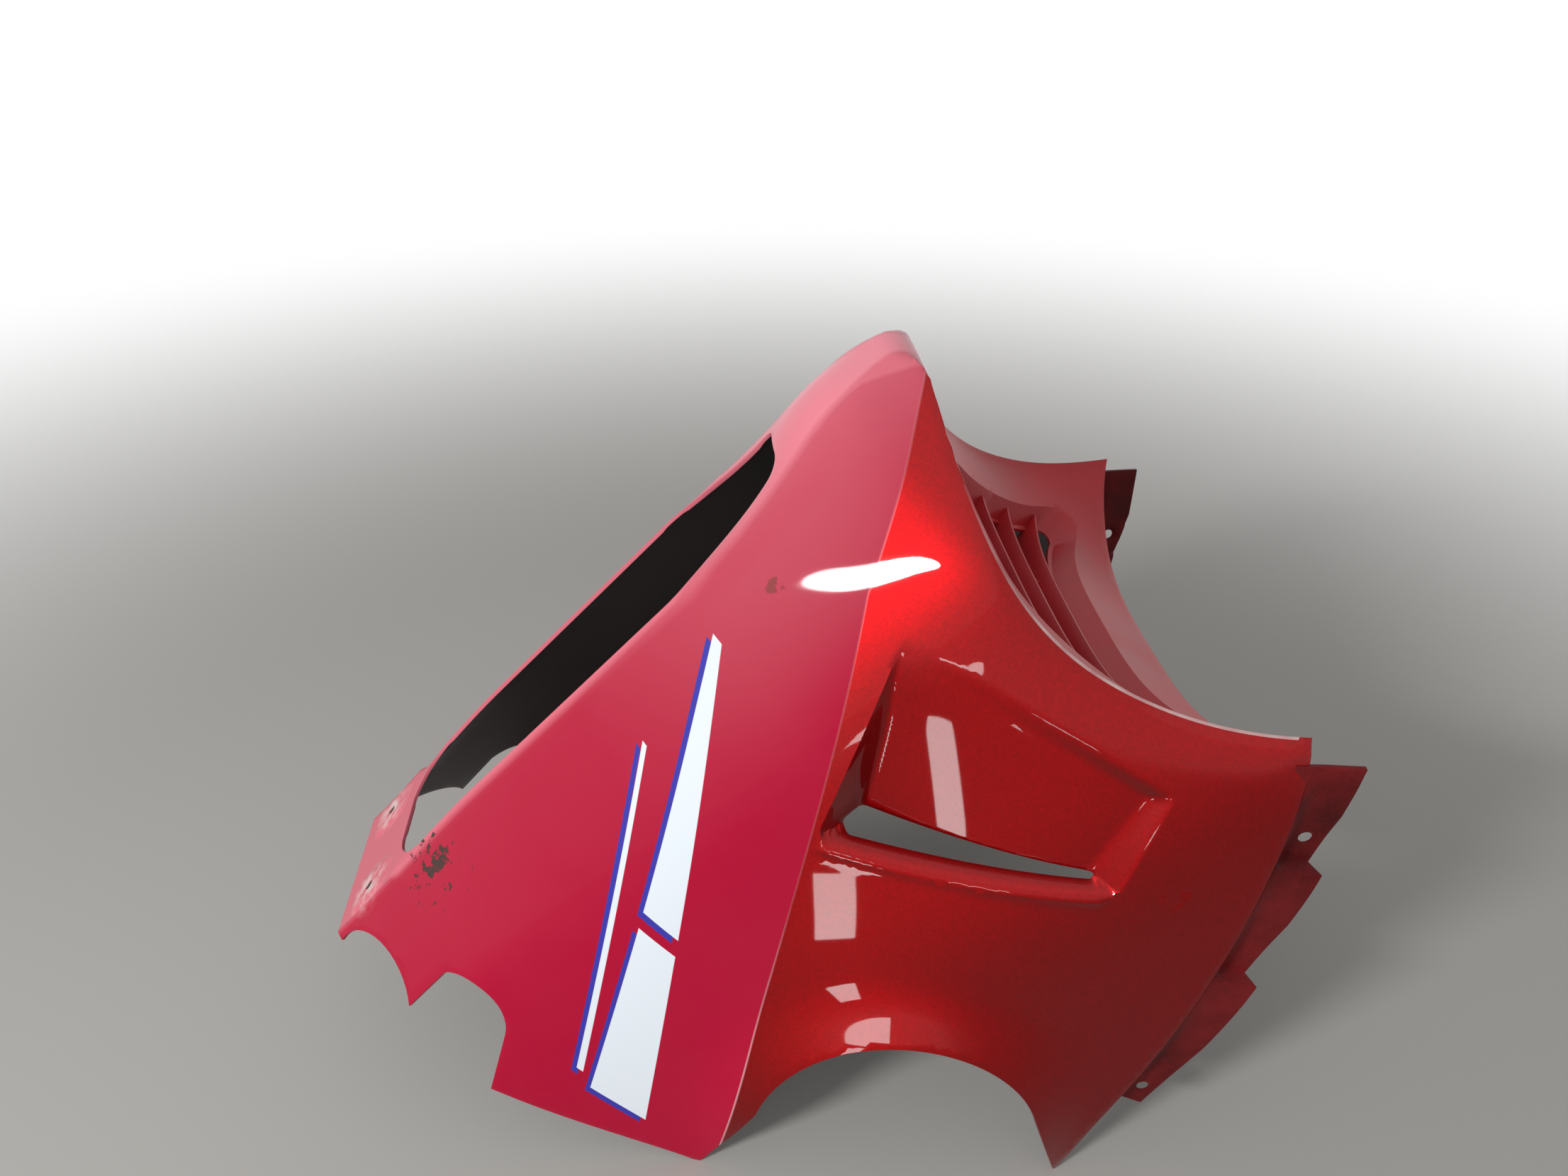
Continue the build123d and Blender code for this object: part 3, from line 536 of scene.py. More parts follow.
def vent_depths(points):
    """How far the skin is sunk at many points of a side panel, for its vent and the vent's lip."""
    a, b, c, d = VENT_CORNERS
    loop = vent_loop(0.0)
    within = inside(points, loop)
    edge = away(points, loop + loop[:1])
    left, lip, right = [-across(points, *line) for line in ((a, b), (b, c), (c, d))]
    lip = lip + lip_bow(points)
    ridge = across(points, a, d)
    run = np.array(d) - np.array(a)
    shares = np.clip((points - np.array(a)) @ run / (run @ run), 0, 1)
    depths = np.zeros(len(points))
    for i in np.nonzero((edge < 4 * LIP_BEAD_WIDTH) | within)[0]:
        ends = ease(min(left[i], right[i]) / VENT_ROUND)
        depths[i] = -LIP_BEAD * ends * exp(-(((lip[i] + LIP_BEAD_WIDTH) / LIP_BEAD_WIDTH) ** 2))
        if within[i]:
            fall = ramp(ridge[i] - VENT_RIDGE_AT, VENT_RIDGE_SOFT) - ramp(-VENT_RIDGE_AT, VENT_RIDGE_SOFT)
            rear = VENT_STEP * ease(ridge[i] / VENT_STEP_WIDTH) + VENT_REAR_SLOPE * ridge[i]
            deep = VENT_SLOPE * fall * (1 - shares[i]) + rear * shares[i]
            deep = soft_min(deep, left[i] / VENT_LEFT_RUN, VENT_BLEND)
            deep = soft_min(deep, right[i] / VENT_RIGHT_RUN, VENT_BLEND)
            deep = soft_min(deep, lip_fall(lip[i]), LIP_BEAD)
            depths[i] += max(min(deep, VENT_EDGE_FALL * edge[i]), 0.0)
    return depths


def flare(station, height):
    """How far the lip of the arch stands out."""
    gap = hypot(station - ARCH_CENTRE[0], height - ARCH_CENTRE[1]) - ARCH_RADIUS
    return FLARE / FLARE_WIDTH * ramp(FLARE_WIDTH - gap, FLARE_SOFT) if gap < 4 * FLARE_WIDTH else 0.0


def roll(height, back=0.0):
    """How far a side panel is rolled in at a distance behind its front edge."""
    wide = NOSE_ROLL * max(1 - back / NOSE_ROLL_WIDTH, 0.0) ** 2
    tight = RIM_ROLL * max(1 - back / RIM_ROLL_WIDTH, 0.0) ** 2
    return (wide + tight) * ease((height - 2 * CHIN_ROUND) / ROLL_RISE)


def side_panel():
    """Triangles of a side panel: each vertex's place on the +Y side, and each face's finish."""
    heights = front_heights()
    edge = [front_station(h) for h in heights]
    loops = [vent_loop(share * LIP_WIDTH) for share in LIP_LINES]
    lines = [loop + loop[:1] for loop in loops]
    for back in ROLL_LINES:
        lines.append([(s + back, h) for s, h in zip(edge, heights) if h > FRONT_EDGE_START][:-1])
    dense = shifted(VENT_CORNERS, [2 * LIP_WIDTH] * 4)
    flat, faces = triangulated(side_outline(), [vent_slit()], lines, dense=dense)
    fronts = np.interp(flat[:, 1], heights, edge)
    places = []
    for (station, height), deep, front in zip(flat, vent_depths(flat), fronts):
        y = half_width(station, height) - roll(height, max(station - front, 0.0))
        places.append((station, y + flare(station, height) - deep, height))
    # Faces along the front edge, above the soft creases of the chin, take the pale rim line
    worn = (flat[:, 1] > FRONT_EDGE_START) & (flat[:, 0] - fronts < PALE_RIM_WIDTH + ON_LINE)
    finish = [EDGE if worn[face].all() else PAINT for face in faces]
    return places, faces, finish


def band_point(run, y):
    """Place on the middle band: along the keel strip, round the nose and up the front panel."""
    if run <= 0:
        station = NOSE_LOW[0] - run
        return (station, y, strip_height(station, y))
    if run < NOSE_RUN:
        station, height = arc_point(NOSE_CENTRE, CHIN_ROUND, NOSE_FROM - run / CHIN_ROUND)
        return (station, y, height)
    height = NOSE_HIGH[1] + run - NOSE_RUN
    return (hollow_station(height, y), y, height)


def band_outline():
    """Outline of the middle band as (run, y), and its half widths along the front panel."""
    edge = []
    for station in reversed(keel_stations()):
        edge.append((NOSE_LOW[0] - station, half_width(station, crease_height(station))))
    bend = nose_arc()
    for i, (station, height) in enumerate(bend[1:], 1):
        edge.append((NOSE_RUN * i / (len(bend) - 1), half_width(station, height)))
    front = []
    for height in front_heights():
        front.append((NOSE_RUN + height - NOSE_HIGH[1], half_width(front_station(height), height)))
    edge += front[1:]
    wide = edge[-1][1]
    count = ceil(2 * wide / MESH_STEP)
    rim = []
    for i in range(1, count):
        y = wide - 2 * wide * i / count
        rim.append((NOSE_RUN + rim_height(y) - NOSE_HIGH[1], y))
    mirror = [(run, -y) for run, y in reversed(edge)]
    tail = divided([mirror[-1], edge[0]], MESH_STEP)[1:-1]
    return edge + rim + mirror + tail, front


def keel_slot():
    """Outline of the long slot in the keel strip, as (run, y)."""
    corners = [(SLOT_FRONT, SLOT_FRONT_HALF), (SLOT_FULL_AT, SLOT_HALF), (SLOT_REAR, SLOT_HALF)]
    radii = [SLOT_FRONT_ROUND, SLOT_BEND_ROUND, SLOT_REAR_ROUND]
    corners += [(s, -y) for s, y in reversed(corners)]
    return rounded([(NOSE_LOW[0] - s, y) for s, y in corners], radii + radii[::-1], MESH_STEP)


def circle(centre, radius, squeeze=1.0):
    """Ring of points, squeezed along the first axis."""
    turns = [2 * pi * i / HOLE_RUNS for i in range(HOLE_RUNS)]
    return [(centre[0] + radius * squeeze * cos(t), centre[1] + radius * sin(t)) for t in turns]


def plate_pad(side, inset):
    """Outline of the pad around a hole of the rear plate."""
    run, y = NOSE_LOW[0] - PLATE_HOLE_STATION, side * PLATE_HOLE_Y
    a, b = PAD_LENGTH / 2 - inset, PAD_WIDTH / 2 - inset
    corners = [(run - a, y - b), (run + a, y - b), (run + a, y + b), (run - a, y + b)]
    return rounded(corners, [PAD_ROUND - inset] * 4, MESH_STEP)


def grille_loop(inset):
    """Edge of the grille's bevel, from the front panel's face inwards, as (run, y)."""
    low = GRILLE_TOP - GRILLE_LENGTH
    corners = [(-GRILLE_HALF_LOW, low), (GRILLE_HALF_LOW, low)]
    corners += [(GRILLE_HALF_TOP, GRILLE_TOP), (-GRILLE_HALF_TOP, GRILLE_TOP)]
    loop = np.array(rounded(corners, [GRILLE_ROUND] * 4, MESH_STEP))
    along = np.roll(loop, -1, axis=0) - np.roll(loop, 1, axis=0)
    out = np.stack([along[:, 1], -along[:, 0]], 1) / np.linalg.norm(along, axis=1)[:, None]
    grown = loop
    for _ in range(BEVEL_ROUNDS):
        stations = np.array([hollow_station(h, y) for y, h in grown])
        grown = loop + out * ((GRILLE_STATION - stations) * BEVEL_WIDTH / BEVEL_DEPTH)[:, None]
    grown = grown - out * inset
    return [(NOSE_RUN + h - NOSE_HIGH[1], y) for y, h in grown]


def middle_band():
    """Triangles of the keel strip, nose and front panel: each vertex's place, and its run."""
    outline, front = band_outline()
    holes = [keel_slot(), grille_loop(BEVEL_WIDTH + RIM_WIDTH)]
    lines = [grille_loop(0.0), grille_loop(BEVEL_WIDTH)]
    for side in (-1, 1):
        hole = (NOSE_LOW[0] - PLATE_HOLE_STATION, side * PLATE_HOLE_Y)
        holes.append(circle(hole, PLATE_HOLE_RADIUS))
        lines += [plate_pad(side, 0.0), plate_pad(side, PAD_EDGE)]
    flat, faces = triangulated(outline, holes, [line + line[:1] for line in lines])
    bevel = np.minimum(away(flat, lines[0] + lines[0][:1]) / BEVEL_WIDTH, 1.0)
    bevel *= inside(flat, lines[0])
    raised = np.zeros(len(flat))
    for pad in (lines[2], lines[4]):
        raised += np.minimum(away(flat, pad + pad[:1]) / PAD_EDGE, 1.0) * inside(flat, pad)
    wide = np.interp(flat[:, 0], [run for run, _ in front], [y for _, y in front])
    places = []
    for (run, y), slope, pad, half in zip(flat, bevel, raised, wide):
        station, y, height = band_point(run, y)
        if run > NOSE_RUN:
            y *= 1 - roll(height) / half * (abs(y) / half) ** ROLL_POWER
        places.append((station + BEVEL_DEPTH * slope, y, height - PAD_HEIGHT * pad))
    return places, faces, flat[:, 0]


def sunk(station):
    """How far the mounting flange is sunk behind the skin at a station."""
    starts, ends = FLANGE_STATIONS[:-1], FLANGE_STATIONS[1:]
    depth = 0.0
    for start, end in zip(starts, ends):
        if station >= start:
            full = FLANGE_STEP * ease((station - start + FLANGE_LAP) / (end - start))
            depth = depth + (full - depth) * min((station - start) / FLANGE_RISER, 1.0)
    return depth


def mounting_flange():
    """Triangles of the saw-toothed flange, with the place of each vertex on the +Y side."""
    low, high = FLANGE_LINE_INSET - FLANGE_LAP, FLANGE_WIDTH - FLANGE_LINE_INSET
    outer, holes, lines = [], [], []
    for i, (start, end) in enumerate(zip(FLANGE_STATIONS, FLANGE_STATIONS[1:])):
        middle = (start + end) / 2
        first = start + (FLANGE_RISER if i else 0.0)
        outer += [(first, FLANGE_WIDTH), (middle, FLANGE_WIDTH), (end, FLANGE_WIDTH - FLANGE_NARROWING)]
        if i:
            lines += [[(start, low), (start, high - FLANGE_NARROWING)], [(first, low), (first, high)]]
        if i != 1:   # the middle tooth has no hole
            centre, radius = top_edge_circle()
            squeeze = sqrt(1 - ((end - TAB_HOLE_EDGE - centre[0]) / radius) ** 2)
            holes.append(circle((end - TAB_HOLE_EDGE, TAB_HOLE_UP), TAB_HOLE_RADIUS, squeeze))
    inner = [(FLANGE_STATIONS[-1], -FLANGE_LAP), (FLANGE_STATIONS[0], -FLANGE_LAP)]
    outline = divided(outer + inner + outer[:1], FLANGE_MESH_STEP)[:-1]
    lines = [divided(line, FLANGE_MESH_STEP) for line in lines]
    flat, faces = triangulated(outline, holes, lines, FLANGE_MESH_STEP)
    places = []
    for station, out in flat:
        s, h = top_edge(station, out)
        y = half_width(s, h) - FLANGE_START - sunk(station) * ease(out / FLANGE_JOGGLE)
        places.append((s, y, h))
    return places, faces


def add_sheet(bm, places, faces, outward, finish, side=1):
    """Adds a sheet to a mesh, with its faces turned to the outward direction of riding position."""
    verts = [bm.verts.new(standing(s, side * y, h)) for s, y, h in places]
    corners = np.array(places)[faces] * (1, side, 1)
    normals = np.cross(corners[:, 1] - corners[:, 0], corners[:, 2] - corners[:, 0])
    flip = (normals @ np.array(outward)).sum() < 0
    for triangle, kind in zip(faces, finish):
        face = bm.faces.new([verts[i] for i in (triangle[::-1] if flip else triangle)])
        face.material_index = kind
        face.smooth = True


def finished_mesh(piece, edge_round, edge_angle):
    """Rounds the edges of an object that has modifiers, and gives its plain mesh."""
    edge = piece.modifiers.new("edges", "BEVEL")
    edge.width = edge_round * MM
    edge.segments = 2
    edge.limit_method = "ANGLE"
    edge.angle_limit = radians(edge_angle)
    mesh = bpy.data.meshes.new_from_object(piece.evaluated_get(bpy.context.evaluated_depsgraph_get()))
    bpy.data.objects.remove(piece)
    mesh.set_sharp_from_angle(angle=radians(SHARP_ANGLE))
    return mesh


def solid(mesh, name):
    """Gives a sheet its wall and its rounded edges."""
    sheet = bpy.data.objects.new(name, mesh)
    bpy.context.collection.objects.link(sheet)
    wall = sheet.modifiers.new("wall", "SOLIDIFY")
    wall.thickness = WALL * MM
    wall.offset = -1
    wall.use_even_offset = True
    wall.thickness_clamp = 1.0
    wall.material_offset = 1
    return finished_mesh(sheet, EDGE_ROUND, EDGE_ANGLE)


def soften(bm, line, rounds):
    """Rounds the skin along a crease, away from its open edges."""
    tree = KDTree(len(line))
    for i, place in enumerate(line):
        tree.insert(place, i)
    tree.balance()
    near = [v for v in bm.verts if not v.is_boundary and tree.find(v.co)[2] < CREASE_REACH * MM]
    for _ in range(rounds):
        bmesh.ops.smooth_vert(bm, verts=near, factor=0.5, use_axis_x=True, use_axis_y=True, use_axis_z=True)


def keel_creases(start, end):
    """Lines between two stations where the side panels meet the keel strip and the nose."""
    line = nose_arc() + [(front_station(h), h) for h in front_heights() if h < FRONT_EDGE_START]
    for station in keel_stations():
        if station < PLATE_HOLE_STATION - PAD_LENGTH:
            line.append((station, crease_height(station)))
    places = [(s, half_width(s, h), h) for s, h in line if start < s < end]
    return [standing(s, side * y, h) for s, y, h in places for side in (-1, 1)]


def set_inputs(tree, node, inputs):
    """Sets or links a node's inputs, by name or number; a linked node gives its first output in use."""
    named = {socket.name: socket for socket in node.inputs if socket.enabled}
    for key, value in inputs.items():
        socket = named[key] if key in named else node.inputs[key]
        if isinstance(value, bpy.types.Node):
            value = next(output for output in value.outputs if output.enabled)
        if isinstance(value, bpy.types.NodeSocket):
            tree.links.new(value, socket)
        else:
            socket.default_value = value


def add_node(tree, kind, inputs=None, **settings):
    """Adds a node with its settings, and sets or links its inputs."""
    node = tree.nodes.new(kind)
    for name, value in settings.items():
        setattr(node, name, value)
    set_inputs(tree, node, inputs or {})
    return node


def blade_tree():
    """Turns guide lines into thin blades, such as the grille's slats and the ribs behind them."""
    tree = bpy.data.node_groups.new("blades", "GeometryNodeTree")
    sockets = {"Guides": "Geometry", "Inwards": "Vector", "Depth": "Float", "Sideways": "Vector"}
    sockets |= {"Thickness": "Float", "End Taper": "Float", "Finish": "Material"}
    for name, kind in sockets.items():
        tree.interface.new_socket(name, in_out="INPUT", socket_type="NodeSocket" + kind)
    tree.interface.new_socket("Blades", in_out="OUTPUT", socket_type="NodeSocketGeometry")
    sizes = add_node(tree, "NodeGroupInput").outputs
    inwards = {"Mesh": sizes["Guides"], "Offset": sizes["Inwards"], "Offset Scale": sizes["Depth"]}
    ribbon = add_node(tree, "GeometryNodeExtrudeMesh", inwards, mode="EDGES")
    shrink = add_node(tree, "ShaderNodeCombineXYZ", {"Y": sizes["End Taper"]})
    place = add_node(tree, "GeometryNodeInputPosition")
    shift = add_node(tree, "ShaderNodeVectorMath", {0: place, 1: shrink}, operation="MULTIPLY")
    taper = {"Geometry": ribbon, "Selection": ribbon.outputs["Top"], "Offset": shift}
    tapered = add_node(tree, "GeometryNodeSetPosition", taper)
    sideways = {"Offset": sizes["Sideways"], "Offset Scale": sizes["Thickness"], "Individual": False}
    thick = add_node(tree, "GeometryNodeExtrudeMesh", {"Mesh": tapered} | sideways, mode="FACES")
    underside = add_node(tree, "GeometryNodeFlipFaces", {"Mesh": tapered})
    both = add_node(tree, "GeometryNodeJoinGeometry", {"Geometry": thick})
    set_inputs(tree, both, {"Geometry": underside})
    closed = add_node(tree, "GeometryNodeMergeByDistance", {"Geometry": both, "Distance": BLADE_SEAM * MM})
    real = add_node(tree, "GeometryNodeRealizeInstances", {"Geometry": closed})
    finished = add_node(tree, "GeometryNodeSetMaterial", {"Geometry": real, "Material": sizes["Finish"]})
    add_node(tree, "NodeGroupOutput", {"Blades": finished})
    return tree


def grille_half(height):
    """Half width of the grille's opening at a height."""
    share = (GRILLE_TOP - height) / GRILLE_LENGTH
    return GRILLE_HALF_TOP + (GRILLE_HALF_LOW - GRILLE_HALF_TOP) * share


def guide_mesh(name, lines):
    """Loose lines in riding position as a mesh of edges."""
    verts, edges = [], []
    for line in lines:
        edges += [(len(verts) + i, len(verts) + i + 1) for i in range(len(line) - 1)]
        verts += [standing(*place) for place in line]
    mesh = bpy.data.meshes.new(name)
    mesh.from_pydata(verts, edges, [])
    return mesh


def blades(name, tree, lines, sizes):
    """Mesh of the blades that a tree makes from guide lines."""
    piece = bpy.data.objects.new(name, guide_mesh(name, lines))
    bpy.context.collection.objects.link(piece)
    modifier = piece.modifiers.new("blades", "NODES")
    modifier.node_group = tree
    for socket in tree.interface.items_tree:
        if socket.name in sizes:
            modifier[socket.identifier] = sizes[socket.name]
    return finished_mesh(piece, SLAT_EDGE_ROUND, SLAT_EDGE_ANGLE)


def grille_blades(finish):
    """Slats across the grille and the ribs that tie them, bent to follow the hollow front."""
    tree = blade_tree()
    slats, ribs = [], []
    for i in range(int((GRILLE_LENGTH - SLAT_PITCH / 2) / SLAT_PITCH)):
        height = GRILLE_TOP - SLAT_PITCH * (i + 1)
        half = grille_half(height) - SLAT_END_INSET
        line = []
        for step in range(SLAT_RUNS + 1):
            y = half * (2 * step / SLAT_RUNS - 1)
            station = hollow_station(height, y) + SLAT_SET_BACK
            line.append((station, y, height - SLAT_THICKNESS / 2))
        slats.append(line)
    for y in (-RIB_Y, RIB_Y):
        line = []
        for step in range(RIB_RUNS + 1):
            height = GRILLE_TOP - RIB_END_INSET - (GRILLE_LENGTH - 2 * RIB_END_INSET) * step / RIB_RUNS
            station = hollow_station(height, y) + SLAT_SET_BACK + SLAT_DEPTH - RIB_DEPTH
            line.append((station, y - RIB_THICKNESS / 2, height))
        ribs.append(line)
    taper = -(BEVEL_WIDTH - SLAT_END_INSET) / GRILLE_HALF_LOW
    shared = {"Inwards": (-cos(TURN), 0, -sin(TURN)), "Finish": finish}
    slat_sizes = shared | {"Depth": SLAT_DEPTH * MM, "Thickness": SLAT_THICKNESS * MM}
    slat_sizes |= {"Sideways": (sin(TURN), 0, -cos(TURN)), "End Taper": taper}
    rib_sizes = shared | {"Depth": RIB_DEPTH * MM, "Thickness": RIB_THICKNESS * MM}
    rib_sizes |= {"Sideways": (0, 1, 0), "End Taper": 0.0}
    return blades("slats", tree, slats, slat_sizes), blades("ribs", tree, ribs, rib_sizes)


def fairing_mesh(finishes):
    """The whole moulding: side panels and middle band, flange, wall and grille."""
    bm = bmesh.new()
    places, faces, finish = side_panel()
    for side in (-1, 1):
        add_sheet(bm, places, faces, (0, side, 0), finish, side)
    places, faces, runs = middle_band()
    finish = [DULL if runs[f].mean() > NOSE_RUN + DULL_START else PAINT for f in faces]
    add_sheet(bm, places, faces, (0, 0, -1), finish)
    bmesh.ops.remove_doubles(bm, verts=bm.verts, dist=SEAM * MM)
    soften(bm, keel_creases(CHIN_CREASE, KEEL_LENGTH), CREASE_ROUNDS)
    soften(bm, keel_creases(-CHIN_CREASE, KEEL_LENGTH), CHIN_ROUNDS)
    places, faces = mounting_flange()
    for side in (-1, 1):
        add_sheet(bm, places, faces, (0, side, 0), [MIST] * len(faces), side)
    mesh = bpy.data.meshes.new("fairing")
    bm.to_mesh(mesh)
    bm.free()
    for material in finishes:
        mesh.materials.append(material)
    shell = solid(mesh, "fairing")
    whole = bmesh.new()
    whole.from_mesh(shell)
    for part in grille_blades(finishes[DULL]):
        count = len(whole.faces)
        whole.from_mesh(part)
        whole.faces.ensure_lookup_table()
        for face in whole.faces[count:]:
            face.material_index = DULL
            face.smooth = True
    whole.to_mesh(shell)
    whole.free()
    return shell


def linear(hex_colour):
    """sRGB hex value as linear RGBA."""
    channels = [int(hex_colour[i : i + 2], 16) / 255 for i in (1, 3, 5)]
    return [c / 12.92 if c < 0.04045 else ((c + 0.055) / 1.055) ** 2.4 for c in channels] + [1.0]


def new_material(name):
    """New material with its tree, its shader and a point's place in riding position.

    That place is in millimetres: ahead of the chin, to the left and above the keel line.
    """
    material = bpy.data.materials.new(name)
    material.use_nodes = True
    tree = material.node_tree
    place = add_node(tree, "ShaderNodeTexCoord").outputs["Object"]
    origin = (-SHIFT * cos(TURN) - LIFT * sin(TURN), 0, LIFT * cos(TURN) - SHIFT * sin(TURN))
    turned = {"Location": origin, "Rotation": (pi, -TURN, 0), "Scale": (1 / MM,) * 3}
    riding = add_node(tree, "ShaderNodeMapping", {"Vector": place} | turned)
    return material, tree, tree.nodes["Principled BSDF"], riding


def stripe(tree, along, below, start, end, middle, half_start, half_end):
    """Depth of a point inside a tapered stripe with slanted ends, in millimetres."""
    lean = add_node(tree, "ShaderNodeMath", {0: below, 1: STRIPE_SLANT, 2: along}, operation="MULTIPLY_ADD")
    taper = {"From Min": start, "From Max": end, "To Min": half_start, "To Max": half_end}
    half = add_node(tree, "ShaderNodeMapRange", {"Value": lean} | taper)
    off = add_node(tree, "ShaderNodeMath", {0: below, 1: middle}, operation="SUBTRACT")
    off = add_node(tree, "ShaderNodeMath", {0: off}, operation="ABSOLUTE")
    room = add_node(tree, "ShaderNodeMath", {0: half, 1: off}, operation="SUBTRACT")
    for far, near in ((lean, start), (end, lean)):
        length = add_node(tree, "ShaderNodeMath", {0: far, 1: near}, operation="SUBTRACT")
        room = add_node(tree, "ShaderNodeMath", {0: room, 1: length}, operation="MINIMUM")
    return room


def printed(tree, along, below, colour):
    """Film with its printed stripes, which have a blue edge on their rear and keel sides."""
    for shift, tone in ((STRIPE_SHADOW, "#39379c"), (0.0, "#d6dde4")):
        rear = add_node(tree, "ShaderNodeMath", {0: along, 1: shift}, operation="SUBTRACT")
        low = add_node(tree, "ShaderNodeMath", {0: below, 1: shift}, operation="SUBTRACT")
        deepest = -1.0   # outside of every stripe
        for sizes in STRIPES:
            depth = stripe(tree, rear, low, *sizes)
            deepest = add_node(tree, "ShaderNodeMath", {0: deepest, 1: depth}, operation="MAXIMUM")
        edge = {"From Min": -PRINT_SOFT, "From Max": PRINT_SOFT}
        inked = add_node(tree, "ShaderNodeMapRange", {"Value": deepest} | edge)
        layer = {"Factor": inked, "A": colour, "B": linear(tone)}
        colour = add_node(tree, "ShaderNodeMix", layer, data_type="RGBA")
    return colour


def blotch(tree, riding, place, reach, size, cover):
    """Mask of ragged spots about a place, more of them near its middle."""
    gap = add_node(tree, "ShaderNodeVectorMath", {0: riding, 1: place}, operation="DISTANCE")
    edge = add_node(tree, "ShaderNodeMapRange", {"Value": gap, "From Max": reach, "To Min": 1 - cover})
    ragged = {"Vector": riding, "Scale": 1 / size, "Detail": 5.0, "Roughness": 0.65}
    grain = add_node(tree, "ShaderNodeTexNoise", ragged)
    over = add_node(tree, "ShaderNodeMath", {0: grain, 1: edge}, operation="SUBTRACT")
    return add_node(tree, "ShaderNodeMapRange", {"Value": over, "From Max": SPOT_SOFT})


def film_place(tree, ahead, height):
    """Depth under the film's edge, straight down and square to it, and the distance along it."""
    line = -KEEL_LENGTH   # lower than either edge
    for slope, start in ((FILM_CHIN_SLOPE, FILM_CHIN_START), (FILM_SLOPE, FILM_START)):
        edge = add_node(tree, "ShaderNodeMath", {0: ahead, 1: -slope, 2: start}, operation="MULTIPLY_ADD")
        line = add_node(tree, "ShaderNodeMath", {0: line, 1: edge}, operation="MAXIMUM")
    under = add_node(tree, "ShaderNodeMath", {0: line, 1: height}, operation="SUBTRACT")
    slant = atan2(FILM_SLOPE, 1)
    below = add_node(tree, "ShaderNodeMath", {0: under, 1: cos(slant)}, operation="MULTIPLY")
    along = add_node(tree, "ShaderNodeMath", {0: ahead, 1: -cos(slant)}, operation="MULTIPLY")
    along = add_node(tree, "ShaderNodeMath", {0: height, 1: sin(slant), 2: along}, operation="MULTIPLY_ADD")
    return under, below, along


def candy_red(tree, riding):
    """Colour of the lacquer, which the flake makes lighter and darker from spot to spot."""
    flake = add_node(tree, "ShaderNodeTexVoronoi", {"Vector": riding, "Scale": 1 / FLAKE})
    glint = add_node(tree, "ShaderNodeSeparateXYZ", {0: flake.outputs["Color"]})
    shade = {0: glint, 1: GLINT_SHARE, 2: GLINT_LEAST}
    depth = add_node(tree, "ShaderNodeMath", shade, operation="MULTIPLY_ADD")
    tones = {"A": linear("#640104"), "B": linear("#a00307")}
    return add_node(tree, "ShaderNodeMix", {"Factor": depth} | tones, data_type="RGBA")


def vinyl_with_fade_and_painted_sheen(tree, ahead, aside, broad):
    """Colour of the film: crimson, pinker on the keel strip and its facet, most at the chin, partly faded
    and partly painted sheen, with a painted highlight along the slot's rim.
    """
    keel = {"From Min": FADE_AND_SHEEN_REAR, "From Max": FADE_AND_SHEEN_FRONT, "To Min": FADE_AND_SHEEN_LEAST}
    level = add_node(tree, "ShaderNodeMapRange", {"Value": ahead} | keel)
    half = add_node(tree, "ShaderNodeMath", {0: level, 1: FACET_FADE_AND_SHEEN}, operation="MULTIPLY")
    strip = {"From Max": -STRIP_TAPER, "To Min": STRIP_HALF_CHIN, "To Max": STRIP_HALF}
    slot = {"From Min": -SLOT_FRONT, "From Max": -SLOT_FULL_AT}
    slot |= {"To Min": SLOT_FRONT_HALF, "To Max": SLOT_HALF}
    # Pale bands beside the strip and on its facet: partly faded film, partly painted sheen
    bands = [(strip, STRIP_FADE_AND_SHEEN_REACH, level), (strip, FACET_FADE_AND_SHEEN_REACH, half)]
    # Pale band along the slot's rim: a painted highlight of a rolled edge
    bands += [(slot, SLOT_RIM_PAINTED_HIGHLIGHT_REACH, SLOT_RIM_PAINTED_HIGHLIGHT)]
    fade = 0.0
    for taper, (start, full), most in bands:
        edge = add_node(tree, "ShaderNodeMapRange", {"Value": ahead} | taper)
        beside = add_node(tree, "ShaderNodeMath", {0: aside, 1: edge}, operation="SUBTRACT")
        reach = {"From Min": start, "From Max": full, "To Max": most}
        band = add_node(tree, "ShaderNodeMapRange", {"Value": beside} | reach)
        fade = add_node(tree, "ShaderNodeMath", {0: fade, 1: band}, operation="MAXIMUM")
    fade = add_node(tree, "ShaderNodeMath", {0: broad, 1: CLOUD_FADE, 2: fade}, operation="MULTIPLY_ADD")
    tones = {"A": linear("#a3002c"), "B": linear("#e07f8d")}
    return add_node(tree, "ShaderNodeMix", {"Factor": fade} | tones, data_type="RGBA")


def rubbed_plate(tree, riding, ahead, aside):
    """Mask of the streaks that are rubbed pale around the holes of the rear plate."""
    place = add_node(tree, "ShaderNodeCombineXYZ", {0: ahead, 1: aside})
    hole = (-PLATE_HOLE_STATION, PLATE_HOLE_Y, 0)
    gap = add_node(tree, "ShaderNodeVectorMath", {0: place, 1: hole}, operation="DISTANCE")
    near = add_node(tree, "ShaderNodeMapRange", {"Value": gap, "From Min": RUB_REACH, "From Max": RUB_FULL})
    rubs = add_node(tree, "ShaderNodeTexNoise", {"Vector": riding, "Scale": 1 / STREAK, "Detail": 4.0})
    contrast = {"From Min": STREAK_FROM, "From Max": STREAK_TO}
    streaks = add_node(tree, "ShaderNodeMapRange", {"Value": rubs} | contrast)
    return add_node(tree, "ShaderNodeMath", {0: near, 1: streaks}, operation="MULTIPLY")


